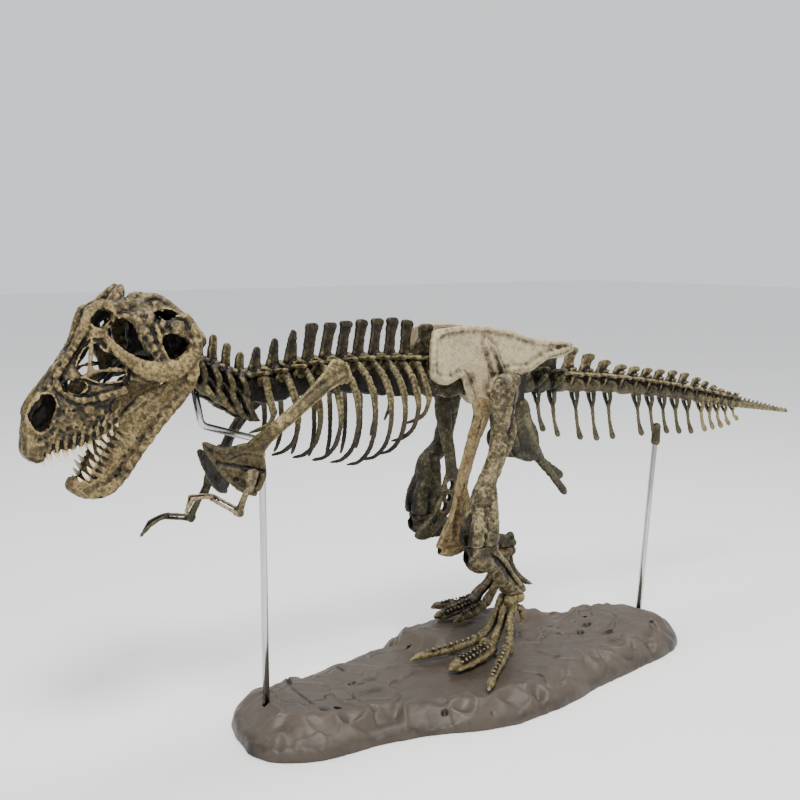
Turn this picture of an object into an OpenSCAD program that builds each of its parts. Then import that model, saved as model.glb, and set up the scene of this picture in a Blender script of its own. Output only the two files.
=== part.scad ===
// Tyrannosaurus skeleton kit: plastic bones plugged together on a rock base with two steel rods.
// Millimetres. +Z up, head towards -X, the animal's left side towards -Y.
// The origin lies on the base's underside, on the animal's middle plane, halfway along its length.

/* [Skeleton] */
// Length of the skeleton from the snout to the tip of the tail
model_len = 920; // [760:10:1100]
// Width of a rib, measured along the body
rib_w = 4.6; // [3.5:0.1:6]
// Thickness of a rib, measured across the body
rib_t = 3.4; // [2.4:0.1:4.4]
// Bore of the spine sockets that hold the neck, hip and tail sections
spine_plug_d = 6; // [4:0.2:8]

/* [Plugs and pins] */
// Diameter of the round plugs at the hips, knees, ankles and soles
limb_plug_d = 6; // [4:0.2:7.4]
// Length of those plugs
limb_plug_len = 9; // [6:0.5:12]
// Diameter of the small plugs on the ribs, shoulder blades and hip bones
small_plug_d = 3; // [2:0.1:3.6]
// Gap all round a plug that stays put
plug_gap = 0.1; // [0.05:0.01:0.2]
// Diameter of the two jaw pins
jaw_pin_d = 4; // [3:0.1:5]
// Diameter of the shoulder plugs that the arms turn on
arm_plug_d = 4; // [3:0.1:5]
// Gap all round a pin or plug that turns
turn_gap = 0.05; // [0.02:0.01:0.1]

/* [Stand] */
// Thickness of the base at the rods
base_t = 24; // [18:1:36]
// Width of the base at its widest
base_w = 200; // [160:2:230]
// Reach of the base in front of the front rod
front_overhang = 23; // [16:1:60]
// Reach of the base behind the tail rod
tail_overhang = 9; // [8:1:60]
// Diameter of the steel rods
rod_d = 6; // [4:0.2:7]
// Depth of the rod sockets in the base
rod_depth = 14; // [8:1:16]

/* [Hidden] */
$fn = 32;

LEFT = -1;
RIGHT = 1;
bone = "tan";
dark_bone = "darkkhaki";
rock = "dimgray";

// The bones are drawn for a 920 mm skeleton on a 24 mm base, then scaled as one and set on the base.
drawn_len = 920;
drawn_base_t = 24;
k = model_len / drawn_len;
module on_stand() translate([0, 0, base_t - k * drawn_base_t]) scale(k) children();
// A size that keeps its own value when the skeleton is scaled
function own(v) = v / k;

small_d = own(small_plug_d);
limb_d = own(limb_plug_d);
limb_len = own(limb_plug_len);
spine_d = own(spine_plug_d);
pin_d = own(jaw_pin_d);
arm_d = own(arm_plug_d);
fit = own(2 * plug_gap);
turn_fit = own(2 * turn_gap);
steel_d = own(rod_d);
over = 0.6; // how far a cut runs past a face
face_gap = 0.4; // gap between two pieces that meet face to face

// ---- the line of the spine ----
spine_line = [[-336, 328], [-322, 320], [-300, 310], [-280, 303], [-255, 305], [-220, 310],
              [-160, 311], [-95, 307], [0, 293], [75, 283], [150, 276], [250, 261],
              [350, 242], [460, 222]];
spine_top = [[-334, 352], [-312, 353], [-298, 346], [-280, 334], [-262, 341], [-245, 347],
             [-221, 356], [-176, 357], [-126, 357], [-97, 351], [-60, 345], [0, 338], [75, 324],
             [105, 314], [154, 298], [215, 288], [258, 283], [304, 269], [330, 258], [360, 247]];
body_r = [[-336, 8], [-100, 8.5], [0, 9], [75, 8.5], [200, 7.5], [300, 6.2], [360, 5], [460, 2]];
process_reach = [[-336, 11], [-280, 15], [-240, 20], [-120, 20], [-90, 16], [75, 18], [150, 16],
                 [250, 10], [330, 5], [360, 3.6]];
chevron_tip = [[64, 234], [90, 226], [136, 219], [230, 217], [290, 211], [350, 213]];
function spine_z(x) = lookup(x, spine_line);
function spine_r(x) = lookup(x, body_r);
// how far the tall bodies of the back hang below the round part
body_drop = [[-336, 0], [-285, 2], [-249, 7], [-213, 6], [-176, 9], [-137, 13], [-88, 15], [-40, 10],
             [30, 3], [78, 0], [460, 0]];

neck_start = -335;
rib_count = 10;
function rib_x(i) = -266 + 19.6 * i - 0.28 * i * i;
neck_ends = [for (i = [0 : 5]) neck_start + i * (rib_x(-0.5) - neck_start) / 5];
back_ends = [for (i = [0 : rib_count]) rib_x(i - 0.5)];
sacrum_ends = [for (i = [0 : 8]) rib_x(rib_count - 0.5) + i * (78 - rib_x(rib_count - 0.5)) / 8];
root_ends = [78, 102, 126, 150, 174];
middle_ends = [174, 196, 218, 239, 259, 278, 296];
end_ends = [296, 312, 327, 341, 354, 366];
tip_start = 366;
tip_end = 460;
tip_beads = 10;

// A smooth bone: rings of eight points along a path; each ring has a half-size along the given
// side direction and a half-size across it. The first and last ring face along the path, or along
// start and end where those are given.
ring_sides = 8;
function unit(v) = v / norm(v);
function along(path, i) = unit(path[min(i + 1, len(path) - 1)] - path[max(i - 1, 0)]);
function ring_face(path, i, start, end) =
    i == 0 && start != undef ? start : i == len(path) - 1 && end != undef ? end : along(path, i);
function ring_points(path, sizes, side, start, end) = [
    for (i = [0 : len(path) - 1])
        let (t = ring_face(path, i, start, end), u = unit(side - (side * t) * t), v = cross(t, u))
            for (j = [0 : ring_sides - 1])
                let (a = 360 * j / ring_sides)
                    path[i] + u * sizes[i][0] * cos(a) + v * sizes[i][1] * sin(a)];
module swept(path, sizes, side = [0, 1, 0], start = undef, end = undef) {
    n = ring_sides;
    last = len(path) - 1;
    polyhedron(
        points = ring_points(path, sizes, side, start, end),
        faces = concat(
            [[for (j = [0 : n - 1]) j]],
            [for (i = [0 : last - 1], j = [0 : n - 1])
                [i * n + j, (i + 1) * n + j, (i + 1) * n + (j + 1) % n]],
            [for (i = [0 : last - 1], j = [0 : n - 1])
                [i * n + j, (i + 1) * n + (j + 1) % n, i * n + (j + 1) % n]],
            [[for (j = [n - 1 : -1 : 0]) last * n + j]]));
}

// A round bar between two points
module bar(a, b, d) {
    v = b - a;
    translate(a)
        rotate([0, acos(v[2] / norm(v)), atan2(v[1], v[0])])
            cylinder(h = norm(v), d = d);
}

// ---- vertebrae ----
module vertebra(x0, x1) {
    pitch = x1 - x0;
    x = (x0 + x1) / 2;
    z = spine_z(x);
    r = spine_r(x);
    lean = 0.18 * pitch;
    top = lookup(x, spine_top);
    reach = lookup(x, process_reach);
    a = [x0 + 0.1 * pitch, 0, spine_z(x0 + 0.1 * pitch)];
    b = [x1 - 0.1 * pitch, 0, spine_z(x1 - 0.1 * pitch)];
    bar(a, b, 2 * r);
    drop = lookup(x, body_drop);
    if (drop > 1.5) {
        foot = z - r - drop + 0.6 * r;
        bar([a[0], 0, foot], [b[0], 0, foot], 1.2 * r);
        translate([x - 0.36 * pitch, -r / 2, foot])
            cube([0.72 * pitch, r, z - foot]);
    }
    // the upright spine leans back a little
    rotate([90, 0, 0])
        linear_extrude(3.2, center = true)
            polygon([[x - 0.36 * pitch, z], [x - 0.3 * pitch + lean, top - 2],
                     [x + lean, top], [x + 0.26 * pitch + lean, top - 3], [x + 0.3 * pitch, z]]);
    // the side processes
    translate([0, 0, z + r * 0.75 + 4.4])
        linear_extrude(2.6)
            polygon([for (s = [1, -1]) each [[x - s * 0.26 * pitch, -s * 2],
                     [x + 0.14 * pitch - s * 0.16 * pitch, -s * reach],
                     [x + 0.14 * pitch + s * 0.16 * pitch, -s * reach], [x + s * 0.26 * pitch, -s * 2]]]);
    translate([x - 0.26 * pitch, -r / 2, z])
        cube([0.52 * pitch, r, r * 0.75 + 5]);
}

// The run of vertebrae between the first and last of the given ends, on one core
module vertebrae(ends) {
    for (i = [0 : len(ends) - 2])
        vertebra(ends[i], ends[i + 1]);
    last = len(ends) - 1;
    xs = [for (i = [0 : last]) ends[i] + (i == 0 ? 1 : i == last ? -1 : 0) * face_gap / 2];
    path = [for (x = xs) [x, 0, spine_z(x)]];
    swept(path, [for (x = xs) [1, 1] * 0.75 * spine_r(x)], start = [1, 0, 0], end = [1, 0, 0]);
}

// A spine plug that points forward from x, or the socket for it
module spine_plug(x, extra = 0) {
    tail = [x + 4, 0, spine_z(x + 4)];
    tip = [x - 5 - extra, 0, spine_z(x - 5 - extra)];
    bar(tail, tip, min(spine_d, 1.1 * spine_r(x)) + extra);
}

module spine_section(ends, plug_in = true, socket = true) {
    difference() {
        union() {
            vertebrae(ends);
            if (plug_in) spine_plug(ends[0]);
        }
        if (socket) spine_plug(ends[len(ends) - 1], fit);
    }
}

// ---- ribs ----
rib_bulge = [[0, 24], [1, 30], [2, 34], [3, 37], [6, 38], [8, 35], [9, 31]];
rib_foot = [[0, 268], [1, 248], [2, 244], [3, 240], [5, 232], [7, 238], [8, 248], [9, 262]];
rib_plug_z = 5; // height of a rib's plug above the middle of the vertebra
rib_plug_in = 3.2; // how deep a rib's plug goes into the vertebra
rib_face = 9.4; // where a rib starts, from the middle plane
function rib_path(i, s) =
    let (x = rib_x(i), z = spine_z(x) + rib_plug_z, w = lookup(i, rib_bulge), foot = lookup(i, rib_foot))
        [[x, s * rib_face, z], [x + 1, s * 17, z + 3], [x + 2, s * 0.82 * w, z - 7],
         [x + 4, s * 0.98 * w, z - 24], [x + 5, s * w, 0.45 * z + 0.55 * foot],
         [x + 2, s * 0.9 * w, 0.2 * z + 0.8 * foot], [x - 5, s * 0.72 * w, foot + 4],
         [x - 12, s * 0.5 * w, foot]];
module rib(i, s) {
    half = [own(rib_t) / 2, own(rib_w) / 2];
    color(bone) on_stand() difference() {
        union() {
            swept(rib_path(i, s), [for (taper = [1.1, 1.2, 1, 1, 0.9, 0.85, 0.75, 0.4]) half * taper],
                  [0, 0, 1] + [0, s, 0] * 0.9);
            rib_plug(i, s, 0);
        }
        if (i == blade_rib) blade_pin(s, fit);
    }
}
module rib_plug(i, s, extra) {
    x = rib_x(i);
    z = spine_z(x) + rib_plug_z;
    bar([x, s * 10.4, z], [x, s * (8 - rib_plug_in - extra), z], small_d * 0.9 + extra);
}

module neck() color(bone) on_stand() difference() {
    spine_section(neck_ends);
    front_rod_line(fit);
}
module back() color(bone) on_stand() difference() {
    spine_section(back_ends);
    for (i = [0 : rib_count - 1], s = [LEFT, RIGHT]) rib_plug(i, s, fit);
}
module sacrum() color(bone) on_stand() difference() {
    union() {
        spine_section(sacrum_ends);
        for (s = [LEFT, RIGHT], p = hip_plugs) {
            bar([p[0], 0, p[1]], [p[0], s * (hip_in - face_gap / 2), p[1]], 9);
            bar([p[0], 0, p[1]], [p[0], s * (hip_in + 4), p[1]], small_d);
        }
    }
    // room for the ends of the thigh plugs
    for (s = [LEFT, RIGHT]) thigh_plug(s, fit);
}
module tail_root() color(bone) on_stand() spine_section(root_ends);
module tail_middle() color(bone) on_stand() spine_section(middle_ends);
module tail_end() color(bone) on_stand() spine_section(end_ends);
module tail_tip() color(bone) on_stand() {
    step = (tip_end - tip_start) / tip_beads;
    spine_plug(tip_start);
    bar([tip_start + face_gap / 2, 0, spine_z(tip_start)], [tip_end - 1, 0, spine_z(tip_end - 1)], 3);
    for (i = [0 : tip_beads - 1]) {
        a = tip_start + i * step + (i == 0 ? face_gap / 2 : 0);
        b = tip_start + (i + 0.8) * step;
        bar([a, 0, spine_z(a)], [b, 0, spine_z(b)], 2 * spine_r(b));
    }
    bar([tip_end - 2, 0, spine_z(tip_end - 2)], [tip_end, 0, spine_z(tip_end)], 3);
}

// ---- chevrons: V-shaped bones that hang under the joints of the tail ----
chevron_seat = 1.6; // how far a chevron's head is set into the tail
module chevron(x) {
    z = spine_z(x) - spine_r(x) + chevron_seat;
    tip_x = x + 9;
    tip = lookup(tip_x, chevron_tip);
    swept([[x, 0, z], [x + 3, 0, 0.6 * z + 0.4 * tip], [x + 6.5, 0, 0.25 * z + 0.75 * tip],
           [tip_x, 0, tip]],
          [[2.6, 1.8], [1.8, 1.5], [1.7, 2.2], [1.1, 2.6]]);
}
tail_rod_top = [227, 0, 216];
module chevrons_root() color(dark_bone) on_stand()
    for (i = [1 : len(root_ends) - 2]) chevron(root_ends[i]);
module chevrons_middle() color(dark_bone) on_stand() difference() {
    union() {
        for (i = [1 : len(middle_ends) - 2]) chevron(middle_ends[i]);
        bar(tail_rod_top - [0.6, 0, 7], tail_rod_top + [0.8, 0, 8], steel_d + 4.4);
    }
    tail_rod_line(fit);
}

// ---- hips ----
hip_in = 18; // inner face of the ilium from the middle plane
hip_t = 6; // thickness of the ilium
hip_plugs = [[-66, 322], [48, 312]];
thigh_seat = [-12, 284]; // X and Z of the hip socket
module thigh_plug(s, extra)
    bar([thigh_seat[0], s * (hip_in + hip_t + 4), thigh_seat[1]],
        [thigh_seat[0], s * (hip_in - limb_len / 2 - extra), thigh_seat[1]], limb_d + extra);
pubis_joint = [-41, 22, 275];
ischium_joint = [12, 22, 268];
module ilium(s) color(bone) on_stand() difference() {
    union() {
        translate([0, s > 0 ? hip_in + hip_t : -hip_in, 0])
            rotate([90, 0, 0])
                linear_extrude(hip_t)
                    polygon([[-99, 302], [-97, 340], [-91, 347], [-42, 348], [-6, 342], [24, 333],
                             [72, 328], [77, 319], [60, 313], [30, 309], [22, 296], [21, 269],
                             [3, 269], [-2, 282], [-12, 289], [-22, 284], [-31, 275.4], [-52, 275.4],
                             [-57, 292], [-63, 305], [-81, 299]]);
        // ring of the hip socket
        bar([thigh_seat[0], s * (hip_in + 1), thigh_seat[1]],
            [thigh_seat[0], s * (hip_in + hip_t + 2), thigh_seat[1]], 34);
    }
    thigh_plug(s, fit);
    for (p = hip_plugs)
        bar([p[0], s * (hip_in - over), p[1]], [p[0], s * (hip_in + 4 + over), p[1]], small_d + fit);
    bar([thigh_seat[0], s * (hip_in + hip_t), thigh_seat[1]],
        [thigh_seat[0], s * (hip_in + hip_t + 2 + over), thigh_seat[1]], 28);
    hip_pin(pubis_joint, s, fit);
    hip_pin(ischium_joint, s, fit);
}
module hip_pin(at, s, extra)
    bar([at[0], s * (hip_in + hip_t / 2), at[2] - 5],
        [at[0], s * (hip_in + hip_t / 2), at[2] + 4 + extra], small_d * 0.8 + extra);

pubis_boot = [[-64, -13, 131], [-76, 13, 144]];
module pubis(s) {
    boot = pubis_boot[s == LEFT ? 0 : 1];
    color(s == LEFT ? bone : dark_bone) on_stand() {
        swept([[-42, s * 21, 274.6], [-45, s * 20.5, 262], [-50, s * 14, 232], [-54, s * 10.5, 205],
               [-58, s * 10.5, 182], [0.3 * -58 + 0.7 * boot[0], boot[1], boot[2] + 18],
               [boot[0], boot[1], boot[2]]],
              [[4, 9], [4.6, 8], [4.5, 6.4], [4.2, 5.6], [3.8, 6.6], [4, 12], [3, 19]], start = [0, 0, -1]);
        hip_pin(pubis_joint, s, 0);
    }
}
ischium_ends = [[[36, 13, 222], [52, 10, 205], [68, 9, 188], [84, 8, 170]],
                [[37, 13, 223], [56, 10, 210], [75, 9, 197], [94, 8, 184]]];
module ischium(s) {
    color(dark_bone) on_stand() {
        swept([[11, s * 21, 267.6], [14, s * 20.5, 258], [22, s * 17, 240],
               for (c = ischium_ends[s == LEFT ? 0 : 1]) [c[0], s * c[1], c[2]]],
              [[3.6, 8], [3.6, 11], [3, 13], [2.8, 8], [2.8, 5], [2.6, 4], [2.2, 4]], start = [0, 0, -1]);
        hip_pin(ischium_joint, s, 0);
    }
}

// ---- legs: the left one stands forward and lower, the right one steps on the raised rock ----
knees = [[-57, -43, 146], [-60, 41, 161]];
ankles = [[19, -16, 80], [50, 44, 108]];
function leg(s) = s == LEFT ? 0 : 1;
module knee_plug(s, extra) {
    p = knees[leg(s)];
    bar(p + [-1, 0, -8], p + [1.4, 0, limb_len + extra - 1], limb_d + extra);
}
module ankle_plug(s, extra) {
    p = ankles[leg(s)];
    bar(p + [-1, 0, -8], p + [1, 0, limb_len * 0.7 + extra], limb_d * 0.8 + extra);
}
module thigh(s) {
    p = knees[leg(s)];
    hip_y = hip_in + hip_t;
    color(bone) on_stand() difference() {
        union() {
            swept([[-19, s * (hip_y + 15), 305], [-20, s * (hip_y + 15), 299],
                   [-22, s * (hip_y + 15), 288], [-27, s * (hip_y + 17), 262],
                   [-35, s * (hip_y + 18), 235], p + [6, s * 1, 48], p + [3, 0, 18],
                   p + [1, 0, 7], p + [0, 0, face_gap / 2]],
                  [[7, 6], [10, 10.5], [10, 11.5], [8, 10], [7, 7.5], [7, 7.5], [10.5, 10],
                   [12, 12.5], [9, 9]], end = [0, 0, -1]);
            // the head of the bone
            bar([thigh_seat[0], s * (hip_y + 14), thigh_seat[1]],
                [thigh_seat[0], s * (hip_y + face_gap), thigh_seat[1]], 17);
            thigh_plug(s, 0);
        }
        knee_plug(s, fit);
    }
}
module shin(s) {
    p = knees[leg(s)];
    q = ankles[leg(s)];
    color(bone) on_stand() difference() {
        union() {
            swept([p - [4, 0, face_gap / 2], p + [-3, 0, -8], p + [8, 0, -15], 0.65 * p + 0.35 * q,
                   0.3 * p + 0.7 * q + [0, 0, 2], 0.08 * p + 0.92 * q + [0, 0, 4],
                   q + [2, 0, face_gap / 2]],
                  [[8, 6], [9, 9], [7.5, 8.5], [6, 6.5], [5, 5.5], [6.5, 7], [6, 6]],
                  start = [0, 0, -1], end = [0, 0, -1]);
            knee_plug(s, 0);
        }
        ankle_plug(s, fit);
    }
}

// Start, knuckle and tip of each toe: inner, middle and outer
toes = [[[[-36, 2, 36], [-68, 2, 33], [-101, 4, 27]],
         [[-36, -22, 36], [-62, -32, 33], [-85, -36, 27]],
         [[-27, -38, 35], [-58, -68, 32], [-86, -92, 27]]],
        [[[14, 42, 50], [-6, 38, 46], [-24, 36, 41]],
         [[12, 54, 51], [-10, 56, 47], [-33, 57, 41]],
         [[18, 66, 50], [2, 76, 46], [-17, 84, 41]]]];
sole_pegs = [[-30, -20], [14, 54]];
module sole_peg(s, extra) {
    c = sole_pegs[leg(s)];
    top = toes[leg(s)][1][0][2];
    bar([c[0], c[1], top - 16 - extra], [c[0], c[1], top], limb_d * 0.8 + extra);
}
module foot(s) {
    q = ankles[leg(s)];
    color(bone) on_stand() {
        for (t = toes[leg(s)]) {
            top = q + [0, (t[0][1] - q[1]) * 0.2, -face_gap / 2];
            swept([top, 0.5 * q + 0.5 * t[0] + [4, 0, 0], t[0] + [2, 0, 1]],
                  [[4, 5], [3.2, 3.8], [4.4, 4.8]], start = [0, 0, -1]);
            swept([t[0] + [4, 0, 1], 0.5 * t[0] + 0.5 * t[1] + [0, 0, 1], t[1] + [0, 0, 0.5],
                   0.4 * t[1] + 0.6 * t[2] + [0, 0, 1], t[2]],
                  [[4.6, 4.6], [3.8, 4], [4.2, 4.2], [3.4, 3.2], [1, 1.2]]);
        }
        // the small toe behind
        heel = 0.7 * q + 0.3 * toes[leg(s)][1][0];
        swept([heel + [1, 0, 0], heel + [9, 0, -5], heel + [11, 0, -16]],
              [[3, 3], [2.2, 2.2], [0.8, 0.8]]);
        bar([sole_pegs[leg(s)][0], sole_pegs[leg(s)][1], toes[leg(s)][1][0][2] - 6],
            [sole_pegs[leg(s)][0], sole_pegs[leg(s)][1], toes[leg(s)][1][0][2] + 2], 16);
        sole_peg(s, 0);
        ankle_plug(s, 0);
    }
}

// ---- shoulders and arms ----
girdle_drop = [0, 8]; // the right shoulder hangs lower
arm_seats = [[-288, 24, 236], [-294, 24, 226]];
module arm_plug(s, extra) {
    p = arm_seats[leg(s)];
    bar([p[0], s * (p[1] + 9), p[2]], [p[0], s * (p[1] - 4 - extra), p[2]], arm_d + extra);
}
blade_rib = 3; // the rib that a shoulder blade is pinned to
blade_y = 43; // the blade's middle at the pin
pin_end_gap = 20; // the bore goes this many fits deeper than the pin
function blade_pin_at(s) =
    let (path = rib_path(blade_rib, s)) s == LEFT ? path[2] : 0.8 * path[2] + 0.2 * path[3];
module blade_pin(s, extra) {
    p = blade_pin_at(s);
    bar([p[0], p[1] - s * (own(rib_t) / 2 + extra * pin_end_gap), p[2]], [p[0], s * blade_y, p[2]],
        small_d * 0.6 + extra);
}
module scapula(s) {
    d = -girdle_drop[leg(s)];
    color(bone) on_stand() difference() {
        union() {
            swept([[-203, s * 43, 320 + d], [-214, s * 43.5, 313 + d], [-240, s * 44, 298 + d],
                   [-262, s * 41, 283 + d], [-277, s * 36, 270 + d], [-285, s * 31, 260 + d],
                   [-293, s * 24, 249 + d], [-300, s * 15, 244 + d], [-303, s * 5, 242 + d]],
                  [[10, 1.6], [9, 2], [6, 2.4], [6, 3], [10, 3], [20, 3.4], [25, 3.6], [26, 3], [25, 2]],
                  [-0.5, 0, 0.87]);
            bar([arm_seats[leg(s)][0], s * (arm_seats[leg(s)][1] - 6), arm_seats[leg(s)][2]],
                [arm_seats[leg(s)][0], s * (arm_seats[leg(s)][1] + 3.6), arm_seats[leg(s)][2]],
                arm_d + 5);
            blade_pin(s, 0);
        }
        arm_plug(s, turn_fit);
    }
}
arm_joints = [[[-300, 33, 209], [-323, 33, 224], [-341, 33, 226], [-345, 32, 213]],
              [[-313, 33, 193], [-334, 33, 197], [-349, 32, 193], [-357, 32, 182]]];
module arm(s) {
    p = arm_seats[leg(s)];
    j = [for (a = arm_joints[leg(s)]) [a[0], s * a[1], a[2]]];
    top = [p[0], s * (p[1] + 8), p[2]];
    color(bone) on_stand() {
        swept([top + [3, 0, 5], top, 0.5 * top + 0.5 * j[0], j[0] + [1, 0, 1], j[0] + [0, 0, -3]],
              [[2.6, 3], [3.6, 4.6], [2.4, 2.8], [3, 3.4], [1.6, 1.6]]);
        swept([j[0] + [2, 0, -1], 0.6 * j[0] + 0.4 * j[1], j[1]], [[2.4, 2.8], [2, 2.4], [2, 2.2]]);
        for (f = [-1, 1])
            swept([j[1], j[2] + [0, 2.4 * f, 0], j[3] + [2 * f, 2.8 * f, 0]],
                  [[1.8, 1.8], [1.4, 1.6], [0.5, 0.6]]);
        arm_plug(s, 0);
    }
}

// ---- skull and jaw ----
hinge = [-339, 325];
cheek_t = 4;
cheek_start = [-460, 7]; // X and Y where the cheek plates start
cheek_turn = 13; // each cheek plate turns outward by this angle, seen from above
jaw_start = [-420, 6];
jaw_turn = 16.5;
hinge_y = cheek_y(hinge[0]);
function cheek_y(x) = cheek_start[1] + (x - cheek_start[0]) * tan(cheek_turn);
// An outline drawn in X and Z, measured along a plate that is turned outward
function flat(points, start, turn) = [for (p = points) [(p[0] - start[0]) / cos(turn), p[1]]];
function on_cheek(points) = flat(points, cheek_start, cheek_turn);
module plate(start, turn, s)
    translate([start[0], s * start[1], 0])
        rotate([0, 0, s * turn])
            translate([0, s > 0 ? cheek_t : 0, 0])
                rotate([90, 0, 0])
                    linear_extrude(cheek_t) children();

// Teeth along a gum line: points from the first socket to the last, each tooth a spike
function spikes(gum, count, first, last) = [
    for (i = [0 : count - 1])
        let (f = i / count, g = (i + 1) / count, reach = first * (1 - f) + last * f,
             a = gum_at(gum, f), b = gum_at(gum, g))
            each [a, 0.5 * a + 0.5 * b + reach, 0.12 * a + 0.88 * b]];
function gum_at(gum, f) = [lookup(f, [for (g = gum) [g[0], g[1]]]), lookup(f, [for (g = gum) [g[0], g[2]]])];
upper_gum = [[0, -397, 295], [0.4, -419, 281], [0.75, -436, 275], [1, -451, 274]];
lower_gum = [[0, -415, 241], [0.3, -408, 253], [0.7, -399, 274], [1, -391, 284]];

module cheek() difference() {
    polygon(on_cheek(concat(
        [[-459, 282], [-458, 300], [-446, 315], [-426, 336], [-415, 352], [-413, 370], [-402, 376],
         [-391, 387], [-379, 382], [-360, 378], [-338, 366], [-330, 352], [-331, 338], [-330, 320],
         [-336, 316], [-345, 319], [-362, 318], [-384, 318], [-393, 304]],
        spikes(upper_gum, 12, [-1, -8], [1, -11]),
        [[-455, 275]])));
    // nostril, front window, large window, eye socket and cheek window
    polygon(on_cheek([[-454, 293], [-449, 291], [-444, 300], [-444, 311], [-448, 310], [-455, 300]]));
    polygon(on_cheek([[-429, 319], [-424, 314], [-416, 317], [-416, 322], [-423, 326]]));
    polygon(on_cheek([[-416, 327], [-404, 321], [-388, 324], [-389, 336], [-397, 350], [-406, 347]]));
    polygon(on_cheek([[-396, 362], [-388, 368], [-379, 362], [-376, 350], [-380, 336], [-385, 336],
                      [-393, 350]]));
    polygon(on_cheek([[-363, 349], [-357, 358], [-344, 357], [-341, 348], [-348, 338], [-357, 335]]));
}
module skull() color(bone) on_stand() difference() {
    union() {
        for (s = [LEFT, RIGHT]) plate(cheek_start, cheek_turn, s) cheek();
        // snout, nose ridge, skull roof, braincase and the plate at the back
        swept([[-459, 0, 286], [-456, 0, 287], [-446, 0, 290]],
              [[7, 9], [cheek_y(-456) + 1, 12], [cheek_y(-446) + 1, 10]]);
        roof([[-456, 302], [-440, 318], [-422, 336], [-411, 352]], 3);
        roof([[-412, 362], [-394, 373], [-370, 372], [-346, 362]], 4);
        swept([[-398, 0, 362], [-384, 0, 356], [-362, 0, 350], [-339, 0, 344]],
              [[5, 8], [9, 14], [11, 18], [12, 14]]);
        translate([-342, -cheek_y(-342) - 1, 334]) cube([6, 2 * cheek_y(-342) + 2, 24]);
    }
    neck_socket();
    jaw_pin_line(fit);
}
module roof(points, half)
    swept([for (p = points) [p[0], 0, p[1]]], [for (p = points) [cheek_y(p[0]) + 1.5, half]]);
module neck_socket() {
    bar([neck_start + 2, 0, spine_z(neck_start)],
        [neck_start - 6, 0, spine_z(neck_start) + 3], spine_d + fit);
    // room for the first vertebra
    translate([neck_start - face_gap, -13, 300]) cube([12, 26, 60]);
}
module mandible() color(bone) on_stand() difference() {
    union() {
        for (s = [LEFT, RIGHT])
            plate(jaw_start, jaw_turn, s)
                polygon(flat(concat(spikes(lower_gum, 9, [-9, 3], [-6, 3]),
                    [[-391, 284], [-380, 298], [-364, 309], [-354, 316], [-345, 323], [-340, 331],
                     [-333, 328], [-332, 320], [-337, 311], [-346, 304], [-354, 294], [-373, 273],
                     [-390, 247], [-401, 235], [-409, 232], [-418, 235]]), jaw_start, jaw_turn));
        swept([[-426, 0, 244], [-421, 0, 240], [-408, 0, 238]], [[6, 3], [10.5, 5], [9.5, 4]]);
    }
    jaw_pin_line(turn_fit);
}
module jaw_pin_line(extra)
    for (s = [LEFT, RIGHT])
        bar([hinge[0], s * (hinge_y - 6 - extra), hinge[1]],
            [hinge[0], s * (hinge_y + 5 + extra), hinge[1]], pin_d + extra);
module jaw_pins() color("dimgray") on_stand() jaw_pin_line(0);

// ---- steel rods and the base ----
front_rod_x = -261;
tail_rod_foot = [208, 0, 24];
rod_points = [[front_rod_x, 0, 24], [front_rod_x, 0, 259], [-316, 0, 277], [-323, 0, 316]];
bend_r = 9; // radius of a bend, at the middle of the rod
rod_parts = len(rod_points) - 1;
function rod_dir(i) = unit(rod_points[i + 1] - rod_points[i]);
function rod_angle(i) = atan2(rod_dir(i)[2], rod_dir(i)[0]);
function turn_at(i) = rod_angle(i) - rod_angle(i - 1);
function bend_len(i) = i == 0 || i == rod_parts ? 0 : bend_r * tan(abs(turn_at(i)) / 2);
bend_steps = 4;
// Points round bend i, at the middle of the rod
function bend(i) =
    let (hand = sign(turn_at(i)), back = rod_angle(i - 1),
         c = rod_points[i] - rod_dir(i - 1) * bend_len(i) + [-sin(back), 0, cos(back)] * hand * bend_r)
    [for (j = [0 : bend_steps])
        let (a = back - 90 * hand + turn_at(i) * j / bend_steps)
            c + [cos(a), 0, sin(a)] * bend_r];
module front_rod_line(extra) {
    // straight and round where it fits the base and the neck, swept through its two bends
    for (i = [0, rod_parts - 1])
        bar(rod_points[i] + rod_dir(i) * bend_len(i), rod_points[i + 1] - rod_dir(i) * bend_len(i + 1),
            steel_d + extra);
    run = [for (i = [1 : rod_parts - 1]) each bend(i)];
    path = concat([run[0] - rod_dir(0) * 2], run, [run[len(run) - 1] + rod_dir(rod_parts - 1) * 2]);
    swept(path, [for (q = path) [1, 1] * 0.49 * (steel_d + extra)]);
}
module tail_rod_line(extra) bar(tail_rod_foot, tail_rod_top, steel_d + extra);
module front_rod() color("silver") {
    on_stand() front_rod_line(0);
    translate([k * front_rod_x, 0, base_t - rod_depth]) cylinder(h = rod_depth + 1, d = rod_d);
}
tail_rod_dir = unit(tail_rod_top - tail_rod_foot);
module tail_rod_end(extra)
    bar([k * tail_rod_foot[0], 0, base_t] - tail_rod_dir * (rod_depth + extra),
        [k * tail_rod_foot[0], 0, base_t] + tail_rod_dir * (1 + 2 * extra), rod_d + extra);
module tail_rod() color("silver") {
    on_stand() tail_rod_line(0);
    tail_rod_end(0);
}

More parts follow.
